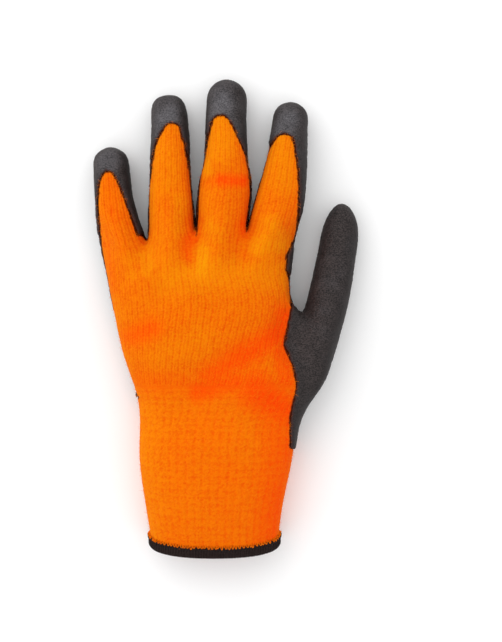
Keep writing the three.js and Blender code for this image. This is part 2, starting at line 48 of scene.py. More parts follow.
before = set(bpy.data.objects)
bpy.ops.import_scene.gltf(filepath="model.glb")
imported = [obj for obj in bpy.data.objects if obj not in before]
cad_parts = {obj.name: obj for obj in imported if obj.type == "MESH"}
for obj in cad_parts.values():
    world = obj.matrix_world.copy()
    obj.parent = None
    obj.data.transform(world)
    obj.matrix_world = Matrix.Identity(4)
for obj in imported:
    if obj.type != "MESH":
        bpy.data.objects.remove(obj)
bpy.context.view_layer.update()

MM = 0.001


def table(columns, *rows):
    """A table's rows, with its columns named."""
    kind = namedtuple("Row", columns)
    return tuple(kind(*row) for row in rows)


# Walls and layers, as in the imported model
KNIT_WALL = 2.6
LATEX_OUT = 1.2
HEM_HEIGHT = 5.5

# Shares of the half width at which the cage's columns cross the back and the palm
COLUMN_SHARES = (-0.94, -0.76, -0.53, -0.28, -0.03, 0.225, 0.48, 0.72, 0.93)
COLUMNS = 20
RADIAL_COLUMN = 10
BACK_FULLNESS = 2.3
PALM_FULLNESS = 3.2
FITTING_PASSES = 12

# Sections of the cuff and the hand, from the hem to the knuckles
HAND_ROWS = table(
    "y left right side crown palm reach",
    (9.5, -34.6, 35.2, 15.0, 32.0, 0.7, 6.0),
    (15.0, -35.0, 35.4, 15.3, 33.0, 0.7, 6.0),
    (33.0, -37.7, 37.9, 16.9, 37.3, 0.7, 4.3),
    (56.0, -40.5, 42.6, 18.0, 39.4, 0.7, 2.0),
    (78.0, -40.6, 47.0, 18.0, 38.3, 0.7, 0.0),
    (95.0, -43.6, 57.4, 17.0, 39.0, 0.7, 0.0),
    (114.0, -49.9, 46.5, 17.5, 41.8, 0.7, 0.0),
    (139.3, -55.4, 42.6, 17.0, 43.0, 0.8, 0.0),
    (156.0, -58.4, 41.0, 16.5, 41.0, 1.4, 0.0),
)
CUFF_ROWS = 4
# The elastic rib runs on over the hand's first row
RIB_TOP = HAND_ROWS[CUFF_ROWS + 1].y
THUMB_ROW = 5

# Crotches between the fingers, with the two sides of the hand first and last
CROTCHES = table(
    "x y inset back web palm",
    (-61.8, 172.0, 5.5, 26.0, 15.5, 4.5),
    (-36.4, 172.5, 0.0, 29.0, 17.0, 5.5),
    (-9.8, 178.5, 0.0, 31.0, 18.0, 6.0),
    (17.4, 178.5, 0.0, 31.0, 18.5, 6.0),
    (44.0, 177.0, -4.5, 28.0, 17.0, 5.0),
)
CROTCH_SLOPE = {"back": -3.0, "web": 1.5, "palm": -4.0}
KNUCKLES = table("back pad", (34.5, 2.6), (37.5, 2.6), (38.5, 2.6), (37.0, 2.6))

# Sections along each finger's own line, from its root to its tip
SECTION = "x y z wide tall"
DIGITS = {
    "little": table(
        SECTION,
        (-53.6, 189.0, 16.5, 20.3, 22.0),
        (-55.5, 205.0, 14.2, 18.0, 20.0),
        (-56.6, 216.0, 10.6, 17.2, 17.8),
        (-57.2, 221.3, 9.4, 13.4, 13.4),
        (-57.2, 224.6, 9.2, 0.0, 0.0),
    ),
    "ring": table(
        SECTION,
        (-23.6, 196.0, 20.5, 23.2, 24.5),
        (-23.9, 216.0, 17.6, 20.6, 22.5),
        (-24.3, 237.0, 11.4, 18.2, 19.0),
        (-25.4, 249.3, 9.8, 14.8, 14.6),
        (-25.6, 253.1, 9.4, 0.0, 0.0),
    ),
    "middle": table(
        SECTION,
        (6.1, 204.0, 21.2, 27.8, 25.0),
        (6.4, 218.0, 19.0, 22.8, 23.4),
        (6.5, 243.0, 11.8, 20.0, 19.8),
        (7.0, 256.4, 10.0, 17.2, 15.4),
        (6.8, 261.8, 9.6, 0.0, 0.0),
    ),
    "index": table(
        SECTION,
        (35.3, 195.0, 20.5, 25.2, 24.5),
        (39.0, 216.0, 17.2, 21.4, 22.5),
        (41.2, 235.0, 11.6, 17.6, 19.4),
        (42.0, 245.0, 10.0, 14.8, 14.6),
        (42.2, 249.3, 9.8, 0.0, 0.0),
    ),
    "thumb": table(
        SECTION,
        (55.9, 122.0, 15.0, 29.4, 26.0),
        (61.9, 140.5, 13.4, 20.2, 22.5),
        (67.0, 166.0, 11.4, 18.8, 19.8),
        (69.6, 183.5, 10.4, 15.6, 16.8),
        (70.2, 193.9, 9.6, 0.0, 0.0),
    ),
}
FINGERS = ("little", "ring", "middle", "index")
DIGIT_FULLNESS = 2.15
DIGIT_ANGLES = (135, 90, 45, 0, -45, -90, -135, 180)
THUMB_ROOT_DIRECTION = (0.85, 0.53, 0.0)

# Folds and dents in the back: the line that each follows, its half width and its depth
FOLDS = table(
    "x y to_x to_y half depth",
    (-10, 92, 44, 127, 11, 2.4),
    (-52, 124, -27, 142, 9, 1.8),
    (-38, 78, 40, 83, 10, 2.0),
    (31, 76, 36, 92, 10, 1.6),
    (-11, 182, -13, 160, 6, 2.0),
    (17.5, 179, 13, 164, 6, 2.0),
    (-6, 207, 18, 207, 5, 1.0),
)

# Painted shade (redder) and painted highlight (yellower, where the weight is negative) on the back:
# the line along each, its half width and how strong it is
PATCH = "x y to_x to_y half weight"
PAINTED_LIGHT = table(
    PATCH,
    (-54.0, 119.0, -33.0, 126.0, 5.5, 0.6),
    (-40.0, 97.0, -12.0, 96.5, 6.0, 0.3),
    (-8.0, 93.0, 12.0, 98.0, 5.5, 0.75),
    (-2.0, 100.0, 39.0, 126.0, 6.5, 0.75),
    (23.0, 93.0, 42.0, 80.0, 10.0, 0.9),
    (38.5, 98.0, 39.0, 134.0, 5.0, 0.7),
    (-37.0, 176.0, -38.0, 163.0, 3.5, 0.15),
    (-10.5, 184.0, -13.0, 165.0, 4.0, 0.6),
    (17.5, 182.0, 17.0, 167.0, 3.5, 0.5),
    (4.0, 206.0, 16.0, 205.5, 3.1, 0.8),
    (-6.0, 205.0, 4.0, 206.0, 3.0, 0.35),
    (-5.0, 216.0, -4.0, 211.0, 3.5, -0.6),
    (-56.0, 178.0, -54.0, 170.0, 5.0, 0.25),
    (21.0, 169.0, 35.0, 171.0, 6.0, -0.7),
    (4.0, 60.0, 4.0, 12.0, 22.0, 0.2),
    (38.0, 84.0, 34.0, 14.0, 13.0, 0.55),
    (-22.0, 155.0, 40.0, 157.0, 8.5, -0.5),
    (-37.0, 166.0, -35.0, 158.0, 4.0, -0.7),
    (-6.5, 167.0, -6.0, 157.0, 4.5, -0.95),
    (-28.0, 114.0, -8.0, 121.0, 7.0, -0.25),
    (-24.0, 205.0, -24.0, 235.0, 6.0, -0.3),
    (4.0, 220.0, 4.0, 240.0, 6.0, -0.45),
    (37.0, 205.0, 38.0, 230.0, 6.0, -0.4),
    (-56.0, 205.0, -55.0, 180.0, 5.0, 0.15),
    (-57.0, 174.0, -56.0, 148.0, 4.0, 0.4),
    (-17.0, 195.0, -17.0, 180.0, 4.0, -0.5),
    (-2.0, 181.0, 1.0, 176.0, 4.0, -0.4),
    (31.0, 182.0, 34.0, 176.0, 4.5, -0.6),
    (-44.0, 163.0, -43.0, 155.0, 3.5, -0.35),
    (35.0, 114.0, 38.0, 100.0, 4.0, 0.7),
)

# Painted sheen: paler patches on the latex of the fingertips
TIP_SHEENS = table(
    PATCH,
    (-57.0, 214.0, -56.5, 218.0, 5.0, 0.4),
    (-26.0, 239.0, -22.0, 243.0, 4.5, 0.5),
    (4.0, 246.0, 5.5, 249.0, 4.5, 0.45),
    (38.5, 235.0, 42.0, 238.5, 4.5, 0.4),
)

# Where the knit shows on the back: the left and right edge of the bare window, and the height
# of the line down the side where the latex stops
WINDOW = "y left right level"
WINDOWS = (
    table(
        WINDOW,
        (50.0, -60.0, 60.0, 15.0),
        (62.0, -40.2, 41.6, 15.0),
        (79.3, -39.9, 41.6, 15.0),
        (90.1, -42.2, 43.8, 15.0),
        (95.6, -46.0, 45.0, 9.0),
        (106.4, -50.0, 42.9, 9.0),
        (117.3, -53.0, 38.2, 9.0),
        (128.2, -56.0, 40.3, 11.5),
        (138.0, -57.0, 42.4, 13.5),
        (150.0, -59.0, 42.4, 14.0),
        (158.0, -60.5, 39.6, 14.0),
        (166.0, -61.6, 40.0, 14.5),
        (177.0, -62.2, 45.3, 15.0),
    ),
    table(
        WINDOW,
        (170.0, -61.2, -38.0, 14.0),
        (177.0, -62.2, -41.0, 15.0),
        (193.0, -63.3, -46.6, 15.0),
        (204.0, -62.9, -51.0, 13.0),
        (209.6, -60.6, -53.9, 11.0),
        (210.9, -59.4, -55.1, 10.0),
        (211.6, -58.0, -56.4, 10.0),
    ),
    table(
        WINDOW,
        (168.0, -38.5, -9.0, 16.0),
        (182.0, -37.5, -9.0, 18.0),
        (198.0, -36.0, -10.8, 18.5),
        (214.8, -34.2, -13.2, 16.0),
        (225.5, -32.2, -15.4, 13.0),
        (231.0, -29.6, -17.2, 12.0),
        (235.8, -26.9, -18.3, 11.0),
        (237.3, -25.0, -20.2, 11.0),
        (237.9, -23.6, -21.6, 11.0),
    ),
    table(
        WINDOW,
        (168.0, -10.5, 18.0, 17.0),
        (182.0, -9.5, 18.6, 19.0),
        (198.0, -9.2, 20.6, 20.0),
        (209.4, -8.0, 19.8, 19.0),
        (220.3, -5.4, 17.6, 17.0),
        (231.0, -3.6, 12.8, 14.0),
        (236.3, -1.9, 10.2, 12.0),
        (239.9, -0.8, 7.9, 12.0),
        (241.5, 0.9, 6.1, 12.0),
        (242.2, 2.3, 4.5, 12.0),
    ),
    table(
        WINDOW,
        (168.0, 16.5, 40.4, 15.0),
        (177.0, 16.8, 45.3, 16.0),
        (193.0, 19.5, 46.2, 18.0),
        (204.0, 23.0, 46.2, 18.0),
        (214.6, 26.0, 45.5, 15.0),
        (220.3, 27.6, 44.5, 13.0),
        (225.5, 30.4, 43.8, 12.0),
        (229.7, 33.5, 42.5, 12.0),
        (231.1, 35.4, 40.7, 12.0),
        (231.7, 37.0, 39.0, 12.0),
    ),
)
# The dip line over the wrist: its height up the glove in the middle, and how it slants
DIP_MIDDLE = 75.0
DIP_SLOPE = -1 / 3

# How finely the surface is worked out
GRID_LEVELS = 4
GRID = 2**GRID_LEVELS

# Wales in a wide and in a narrow column of the cage, for each part of the knit
WALES = {
    "hand": (3.45, 2.1), "little": (2.3, 1.3), "ring": (2.6, 1.5),
    "middle": (3.1, 1.8), "index": (2.7, 1.6), "thumb": (2.6, 1.5),
}
RIBS = {"hand": (2.3, 2.05)}
# How finely the knit is divided: steps across a wide and a narrow column, and up each course
KNIT_STEPS = {"wide": 27, "narrow": 16, "up": 3}
RIB_STEPS = {"wide": 23, "narrow": 20, "up": 6}
LINING_STEPS = 5
# The same for the latex, and the height of one of its steps in millimetres
LATEX_STEPS = {"wide": 15, "narrow": 12}
LATEX_STEP = 0.75

# Where the outermost wales of the back run: nearly straight at the left, and bowed at the right
WALE_EDGES = table(
    "y left right",
    (95.0, -56.5, 32.0),
    (105.0, -57.0, 35.0),
    (114.0, -57.5, 39.0),
    (122.0, -58.0, 42.7),
    (130.0, -58.4, 45.3),
    (137.0, -58.6, 46.0),
    (144.0, -58.6, 45.3),
    (150.0, -58.5, 43.6),
    (156.0, -58.4, 41.0),
)
# How many wales there are to half the hand's width
WALES_TO_A_SHARE = 14.0

# The knit runs on this far under the latex, and is pressed down there
UNDER_LATEX = 3.0
PRESSED = 0.35
# Thickness of the latex at its very edge
THIN_LATEX = 0.12
# The way from the light at the left to the side in its shade
SHADE_SIDE = (0.92, -0.36, 0.0)
# Over this stretch up the fingers the painted sheen on the latex fades in
SHEEN_FROM, SHEEN_TO = 204.0, 232.0

# How far the hem's band stands off the knit, and how far it is drawn in under its stitches
HEM_OUT = 0.95
HEM_SINK = 0.12
# The loops of orange yarn: their thickness, and how far over the hem's top edge they start
LOOP_RADIUS = 0.24
LOOP_LAP = 1.3
THREAD_SIDES = 6
# The threads along the hem: where each runs, how far out, and where its wave starts
HEM_THREADS = (
    (0.1, 0.6, 0.0),
    (-0.15, -KNIT_WALL - 0.4, 1.0),
    (HEM_HEIGHT - 0.5, 1.1, 2.0),
)

# Points along a loose fibre, how near to the latex all fibres are kept, and their share elsewhere
FIBRE_POINTS = 4
FIBRE_BORDER = 3.0
FIBRE_SHARE = 0.62


def smooth(low, high, values):
    """A smooth step from 0 at low to 1 at high."""
    share = np.clip((values - low) / (high - low), 0, 1)
    return share * share * (3 - 2 * share)


def value_noise(points, size, seed):
    """Smooth random numbers from -1 to 1 in space, with features about as wide as size."""
    places = points / size + np.array([13.7, 5.3, 9.1]) * (seed + 1)
    cells = np.floor(places).astype(np.int64)
    shares = places - cells
    shares = shares * shares * (3 - 2 * shares)
    total = np.zeros(len(points))
    for corner in np.ndindex(2, 2, 2):
        at = cells + corner
        code = at[:, 0] * 73856093 ^ at[:, 1] * 19349663 ^ at[:, 2] * 83492791 ^ (seed * 2654435)
        code = (code ^ (code >> 13)) * 1274126177
        number = ((code ^ (code >> 16)) & 0xFFFF) / 32767.5 - 1
        weight = np.prod(np.where(corner, shares, 1 - shares), axis=1)
        total += weight * number
    return total


# The coarse cage


def bulge(share, fullness):
    """A superellipse's height at a share of its half width."""
    return (1 - abs(share) ** fullness) ** (1 / fullness)


def hand_line(row):
    """One closed line around the cuff or the hand, from the little finger's side over the back."""
    middle = (row.left + row.right) / 2
    half = (row.right - row.left) / 2
    back, palm = [], []
    for share in COLUMN_SHARES:
        lift = bulge(share, BACK_FULLNESS)
        x = middle + half * share
        back.append((x, row.y - row.reach * lift, row.side + (row.crown - row.side) * lift))
        palm.append((x, row.y, row.side - (row.side - row.palm) * bulge(share, PALM_FULLNESS)))
    return [(row.left, row.y, row.side), *back, (row.right, row.y, row.side), *reversed(palm)]


def digit_section(section, direction):
    """Eight points around one section of a digit, square to the digit's direction."""
    direction = direction / np.linalg.norm(direction)
    sideways = np.cross(direction, (0, 0, 1))
    sideways /= np.linalg.norm(sideways)
    upwards = np.cross(sideways, direction)
    centre = np.array(section[:3])
    points = []
    for degrees in DIGIT_ANGLES:
        across = math.cos(math.radians(degrees))
        up = math.sin(math.radians(degrees))
        fullness = abs(across) ** DIGIT_FULLNESS + abs(up) ** DIGIT_FULLNESS
        offset = sideways * (section.wide / 2 * across) + upwards * (section.tall / 2 * up)
        points.append(centre + offset * fullness ** (-1 / DIGIT_FULLNESS))
    return points


class Cage:
    """The coarse mesh of four-sided faces, each labelled with its part, row and column."""

    def __init__(self):
        self.points = []
        self.faces = []
        self.labels = []
        lines = [[self.add(point) for point in hand_line(row)] for row in HAND_ROWS]
        crotches, knuckles = self.add_crotches()
        backs, palms = [], []
        for index, knuckle in enumerate(knuckles):
            backs += [crotches[index]["back"], knuckle["back"]]
            palms += [crotches[index]["palm"], knuckle["pad"]]
        first, last = crotches[0], crotches[-1]
        lines.append([
            first["web"], *backs, last["back"], last["web"], last["palm"], *reversed(palms),
        ])
        self.join_hand(lines)
        roots = self.find_roots(lines, crotches, knuckles)
        for name, sections in DIGITS.items():
            self.grow_digit(name, roots[name], sections)
        self.drop_unused()

    def add(self, point):
        self.points.append(np.array(point, float))
        return len(self.points) - 1

    def join(self, corners, label):
        self.faces.append(corners)
        self.labels.append(label)

    def add_crotches(self):
        """The points between the fingers, and those on top of and under each knuckle."""
        crotches = []
        for index, crotch in enumerate(CROTCHES):
            between = 0 < index < len(CROTCHES) - 1
            slope = CROTCH_SLOPE if between else {"back": 0.0, "web": 0.0, "palm": 0.0}
            x = crotch.x + crotch.inset
            crotches.append({
                "back": self.add((x, crotch.y + slope["back"], crotch.back)),
                "web": self.add((crotch.x, crotch.y + slope["web"], crotch.web)),
                "palm": self.add((x, crotch.y + slope["palm"], crotch.palm)),
            })
        knuckles = []
        for near, far, knuckle in zip(CROTCHES, CROTCHES[1:], KNUCKLES):
            x = (near.x + far.x) / 2
            y = (near.y + far.y) / 2
            knuckles.append({
                "back": self.add((x, y - 1, knuckle.back)),
                "pad": self.add((x, y - 2, knuckle.pad)),
            })
        return crotches, knuckles

    def join_hand(self, lines):
        """Faces from line to line up the hand, with a gap where the thumb grows."""
        for row in range(len(lines) - 1):
            for column in range(COLUMNS):
                at_thumb = row in (THUMB_ROW, THUMB_ROW + 1)
                if at_thumb and column in (RADIAL_COLUMN - 1, RADIAL_COLUMN):
                    continue
                following = (column + 1) % COLUMNS
                near, far = lines[row], lines[row + 1]
                corners = (near[column], near[following], far[following], far[column])
                self.join(corners, ("hand", row, column))

    def find_roots(self, lines, crotches, knuckles):
        """The eight points that each digit grows from, the back first."""
        roots = {}
        for index, name in enumerate(FINGERS):
            left, right, knuckle = crotches[index], crotches[index + 1], knuckles[index]
            roots[name] = [
                left["back"], knuckle["back"], right["back"], right["web"],
                right["palm"], knuckle["pad"], left["palm"], left["web"],
            ]
        near, middle, far = (lines[THUMB_ROW + step] for step in range(3))
        before, at, after = RADIAL_COLUMN - 1, RADIAL_COLUMN, RADIAL_COLUMN + 1
        roots["thumb"] = [
            far[before], middle[before], near[before], near[at],
            near[after], middle[after], far[after], far[at],
        ]
        return roots

    def grow_digit(self, name, root, sections):
        """A tube of faces from a root through a digit's sections, closed at its tip."""
        centres = [np.mean([self.points[index] for index in root], axis=0)]
        centres += [np.array(section[:3]) for section in sections]
        previous = root
        for index, section in enumerate(sections[:-1]):
            direction = centres[index + 2] - centres[index]
            if name == "thumb" and index == 0:
                direction = np.array(THUMB_ROOT_DIRECTION)
            line = [self.add(point) for point in digit_section(section, direction)]
            for side in range(8):
                other = (side + 1) % 8
                corners = (previous[side], previous[other], line[other], line[side])
                self.join(corners, (name, index, side))
            previous = line
        tip = self.add(centres[-1])
        for side in (7, 1, 3, 5):
            corners = (previous[side], previous[(side + 1) % 8], previous[(side + 2) % 8], tip)
            self.join(corners, (name, len(sections) - 1, side))

    def drop_unused(self):
        """Leaves out the points that no face uses."""
        used, numbers = np.unique(np.array(self.faces), return_inverse=True)
        self.points = np.array(self.points)[used]
        self.faces = numbers.reshape(-1, 4)


# Smooth subdivision


def find_edges(faces):
    """The distinct edges, each face's four edge numbers, and the edges on the open rim."""
    sides = np.sort(np.stack([faces, np.roll(faces, -1, axis=1)], axis=2).reshape(-1, 2), axis=1)
    codes = sides[:, 0] * (faces.max() + 1) + sides[:, 1]
    _, first, numbers, counts = np.unique(
        codes, return_index=True, return_inverse=True, return_counts=True
    )
    return sides[first], numbers.reshape(faces.shape), counts == 1


def rim_sums(points, rim_edges):
    """The points on the open rim, and the sum of each one's two neighbours along it."""
    sums = np.zeros_like(points)
    np.add.at(sums, rim_edges[:, 0], points[rim_edges[:, 1]])
    np.add.at(sums, rim_edges[:, 1], points[rim_edges[:, 0]])
    rim = np.unique(rim_edges)
    return rim, sums[rim]


def limit_points(points, faces):
    """Where each point comes to lie on the smooth limit surface."""
    around = np.bincount(faces.ravel(), minlength=len(points))[:, None]
    sums = np.zeros_like(points)
    for side in range(4):
        near = points[faces[:, (side + 1) % 4]] + points[faces[:, (side + 3) % 4]]
        np.add.at(sums, faces[:, side], 2 * near + points[faces[:, (side + 2) % 4]])
    limits = (around**2 * points + sums) / (around * (around + 5))
    edges, _, open_edges = find_edges(faces)
    rim, neighbours = rim_sums(points, edges[open_edges])
    limits[rim] = (4 * points[rim] + neighbours) / 6
    return limits


def fit_cage(points, faces):
    """The cage whose limit surface passes through the given points."""
    fitted = points.copy()
    for _ in range(FITTING_PASSES):
        fitted += points - limit_points(fitted, faces)
    return fitted


def subdivide(points, faces, places):
    """One step of subdivision. places holds each corner's place on its own cage face."""
    edges, numbers, open_edges = find_edges(faces)
    face_points = points[faces].mean(axis=1)
    middles = points[edges].mean(axis=1)
    beside = np.zeros_like(middles)
    np.add.at(beside, numbers.ravel(), np.repeat(face_points, 4, axis=0))
    edge_points = (2 * middles + beside) / 4
    edge_points[open_edges] = middles[open_edges]

    around = np.bincount(faces.ravel(), minlength=len(points))[:, None]
    face_sums = np.zeros_like(points)
    for side in range(4):
        np.add.at(face_sums, faces[:, side], face_points)
    middle_sums = np.zeros_like(points)
    meeting = np.bincount(edges.ravel(), minlength=len(points))[:, None]
    for end in range(2):
        np.add.at(middle_sums, edges[:, end], middles)
    corners = (face_sums / around + 2 * middle_sums / meeting + (around - 3) * points) / around
    rim, neighbours = rim_sums(points, edges[open_edges])
    corners[rim] = (6 * points[rim] + neighbours) / 8

    first_edge = len(points)
    first_face = first_edge + len(edges)
    own = first_face + np.arange(len(faces))
    quarters, quarter_places = [], []
    for side in range(4):
        after, before = (side + 1) % 4, (side + 3) % 4
        near, far = first_edge + numbers[:, side], first_edge + numbers[:, before]
        quarters.append(np.stack([faces[:, side], near, own, far], axis=1))
        quarter_places.append(np.stack([
            places[:, side],
            (places[:, side] + places[:, after]) / 2,
            places.mean(axis=1),
            (places[:, side] + places[:, before]) / 2,
        ], axis=1))
    quarters = np.stack(quarters, axis=1).reshape(-1, 4)
    quarter_places = np.stack(quarter_places, axis=1).reshape(-1, 4, 2)
    return np.concatenate([corners, edge_points, face_points]), quarters, quarter_places


def find_normals(points, faces):
    """The normal at each point, from the faces around it."""
    across = points[faces[:, 2]] - points[faces[:, 0]]
    along = points[faces[:, 3]] - points[faces[:, 1]]
    normals = np.zeros_like(points)
    for side in range(4):
        np.add.at(normals, faces[:, side], np.cross(across, along))
    return normals / np.linalg.norm(normals, axis=1, keepdims=True)


def near_line(points, line, flat=0.0):
    """A table's line between two places on the back: 1 along it, 0 from twice its half width on.

    flat is the share of the half width over which it stays 1.
    """
    run = np.array([line.to_x - line.x, line.to_y - line.y])
    offset = points[:, :2] - (line.x, line.y)
    share = np.clip(offset @ run / (run @ run), 0, 1)
    distance = np.linalg.norm(offset - share[:, None] * run, axis=1)
    return 1 - smooth(flat * line.half, 2 * line.half, distance)


def fold_depth(points):
    """How deep the folds press the back of the glove in, in millimetres."""
    depth = np.zeros(len(points))
    for fold in FOLDS:
        depth += fold.depth * near_line(points, fold)
    return depth


def read_rows(heights, rows, column):
    """A column of a table at the given heights up the glove."""
    return np.interp(heights, [row.y for row in rows], [getattr(row, column) for row in rows])


def window_depth(points, rows):
    """How far inside one bare window each point lies, in millimetres, negative outside it."""
    x, y, z = points.T
    left, right, level = (read_rows(y, rows, column) for column in ("left", "right", "level"))
    return np.minimum.reduce([x - left, right - x, z - level, y - rows[0].y, rows[-1].y - y])


def bare_depth(points):
    """How far each point lies inside the bare knit, in millimetres, negative under the latex."""
    depths = [window_depth(points, rows) for rows in WINDOWS]
    below_dip = DIP_MIDDLE + DIP_SLOPE * points[:, 0] - points[:, 1]
    return np.maximum.reduce([*depths, below_dip])


# Sheets laid on the surface

Sheet = namedtuple("Sheet", "points normals quads around along")


class KnitSurface:
    """The outside of the knit: a square grid of points and normals for each face of the cage."""

    def __init__(self):
        cage = Cage()
        self.cage_faces = cage.faces
        self.labels = cage.labels
        points = fit_cage(cage.points, cage.faces)
        faces = cage.faces
        places = np.tile(np.array([(0, 0), (1, 0), (1, 1), (0, 1)], float), (len(faces), 1, 1))
        for _ in range(GRID_LEVELS):
            points, faces, places = subdivide(points, faces, places)
        points = limit_points(points, faces)
        normals = find_normals(points, faces)
        press = fold_depth(points) * np.maximum(normals[:, 2], 0)
        points = points - normals * press[:, None]
        normals = find_normals(points, faces)
        owners = np.repeat(np.arange(len(cage.faces)), 4**GRID_LEVELS)
        steps = np.rint(places * GRID).astype(int)
        self.points = np.zeros((len(cage.faces), GRID + 1, GRID + 1, 3))
        self.normals = np.zeros_like(self.points)
        for corner in range(4):
            at = (owners, steps[:, corner, 1], steps[:, corner, 0])
            self.points[at] = points[faces[:, corner]]
            self.normals[at] = normals[faces[:, corner]]
        self.lengths = self.find_lengths()
        self.shift = self.find_shift()

    def find_lengths(self):
        """The mean length of each row of faces, from its near line to its far line."""
        steps = np.linalg.norm(np.diff(self.points[:, :, GRID // 2], axis=1), axis=2).sum(axis=1)
        found = {}
        for (part, row, _), length in zip(self.labels, steps):
            found.setdefault((part, row), []).append(length)
        return {key: float(np.mean(lengths)) for key, lengths in found.items()}

    def find_shift(self):
        """From the glove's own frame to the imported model's, by the knitted hand's far corner."""
        _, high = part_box("knit_hand")
        far = self.points[:, ::GRID // 2, ::GRID // 2].reshape(-1, 3).max(axis=0)
        return np.array([high.x / MM - far[0], high.y / MM - far[1], 0.0])

    def sample(self, faces, around, along):
        """Points and normals at places, from 0 to 1 each way, on the given cage faces."""
        found = []
        columns = np.clip((around * GRID).astype(int), 0, GRID - 1)
        rows = np.clip((along * GRID).astype(int), 0, GRID - 1)
        right = (around * GRID - columns)[:, None]
        up = (along * GRID - rows)[:, None]
        for grid in (self.points, self.normals):
            near, far = (
                grid[faces, row, columns] * (1 - right) + grid[faces, row, columns + 1] * right
                for row in (rows, rows + 1)
            )
            found.append(near * (1 - up) + far * up)
        points, normals = found
        return points, normals / np.linalg.norm(normals, axis=1, keepdims=True)

    def choose(self, belongs):
        """The faces that belong, by their part and row."""
        return [face for face, (part, row, _) in enumerate(self.labels) if belongs(part, row)]

    def count_rows(self, label, pitch):
        """How many courses of a height, in metres, fit on a face."""
        part, row, _ = label
        return max(2, round(self.lengths[part, row] / (pitch / MM)))

    def lay(self, chosen, count_steps, wales=WALES, pitch=MM):
        """A welded sheet over the chosen faces, with its wales and courses numbered.

        count_steps gives a face's steps around and along. The wales run on from column to column,
        and from the hand into the fingers.
        """
        numbering = Numbering()
        parts = []
        quads = []
        for face in chosen:
            part, _, column = label = self.labels[face]
            steps = count_steps(label)
            grid = numbering.grid(self.cage_faces[face], *steps)
            quads.append(np.stack(
                [grid[:-1, :-1], grid[:-1, 1:], grid[1:, 1:], grid[1:, :-1]], axis=2
            ).reshape(-1, 4))
            v, u = np.mgrid[0:steps[1] + 1, 0:steps[0] + 1]
            u = u.ravel() / steps[0]
            v = v.ravel() / steps[1]
            around = wales_before(label, wales) + u * wales_across(part, column, wales)
            along = v * self.count_rows(label, pitch)
            parts.append((np.full(len(u), face), grid.ravel(), u, v, around, along))
        faces, numbers, u, v, around, along = (np.concatenate(column) for column in zip(*parts))
        owner = np.zeros(numbering.total, int)
        owner[numbers] = np.arange(len(numbers))
        points, normals = self.sample(faces[owner], u[owner], v[owner])
        return Sheet(points, normals, np.concatenate(quads), around[owner], along[owner])


class Numbering:
    """Numbers for the grid points of neighbouring faces, shared along their common edges."""

    def __init__(self):
        self.total = 0
        self.corners = {}
        self.sides = {}

    def take(self, count):
        start = self.total
        self.total += count
        return np.arange(start, self.total)

    def corner(self, corner):
        if corner not in self.corners:
            self.corners[corner] = self.take(1)[0]
        return self.corners[corner]

    def side(self, start, end, steps):
        """The numbers between two corners, in the order from start to end."""
        backwards = start > end
        key = (min(start, end), max(start, end), steps)
        if key not in self.sides:
            self.sides[key] = self.take(steps - 1)
        inner = self.sides[key]
        return inner[::-1] if backwards else inner

    def grid(self, face, across, along):
        """The numbers over one face, row by row."""
        a, b, c, d = (int(corner) for corner in face)
        grid = np.zeros((along + 1, across + 1), int)
        grid[1:-1, 1:-1] = self.take((along - 1) * (across - 1)).reshape(along - 1, across - 1)
        grid[0, 0], grid[0, -1] = self.corner(a), self.corner(b)
        grid[-1, -1], grid[-1, 0] = self.corner(c), self.corner(d)
        grid[0, 1:-1] = self.side(a, b, across)
        grid[1:-1, -1] = self.side(b, c, along)
        grid[-1, 1:-1] = self.side(d, c, across)
        grid[1:-1, 0] = self.side(a, d, along)
        return grid


def width_kind(part, column):
    """Whether a column of faces is one of the wide ones or one of the narrow ones at the sides."""
    if part == "hand":
        sides = (0, RADIAL_COLUMN - 1, RADIAL_COLUMN, COLUMNS - 1)
        return "narrow" if column in sides else "wide"
    return "narrow" if column in (2, 3, 6, 7) else "wide"


def wales_across(part, column, wales):
    """How many wales run up a column."""
    wide, narrow = wales[part]
    return wide if width_kind(part, column) == "wide" else narrow


def wales_before(label, wales):
    """How many wales lie between the edge of the palm and a column, around the hand or a digit."""
    part, _, column = label
    start = 0.0
    if part in FINGERS:
        start = wales_before(("hand", 0, 2 * FINGERS.index(part) + 1), wales)
    return start + sum(wales_across(part, before, wales) for before in range(column))


def settle(points, normals, out):
    """Points moved out from the surface. The glove stays above the surface that it lies on."""
    placed = points + normals * out[:, None]
    placed[:, 2] = np.maximum(placed[:, 2], LATEX_OUT - out)
    return placed


def lift(points, radius):
    """A thread's line, kept so high that the thread rests on the surface under it."""
    points[:, 2] = np.maximum(points[:, 2], radius)
    return points


# Meshes, nodes and materials


def compact(points, faces, attributes):
    """The same mesh without the points that no face uses."""
    corners = np.concatenate([face.ravel() for face in faces])
    used, numbers = np.unique(corners, return_inverse=True)
    renumbered = []
    start = 0
    for face in faces:
        renumbered.append(numbers[start:start + face.size].reshape(face.shape))
        start += face.size
    return points[used], renumbered, {name: values[used] for name, values in attributes.items()}


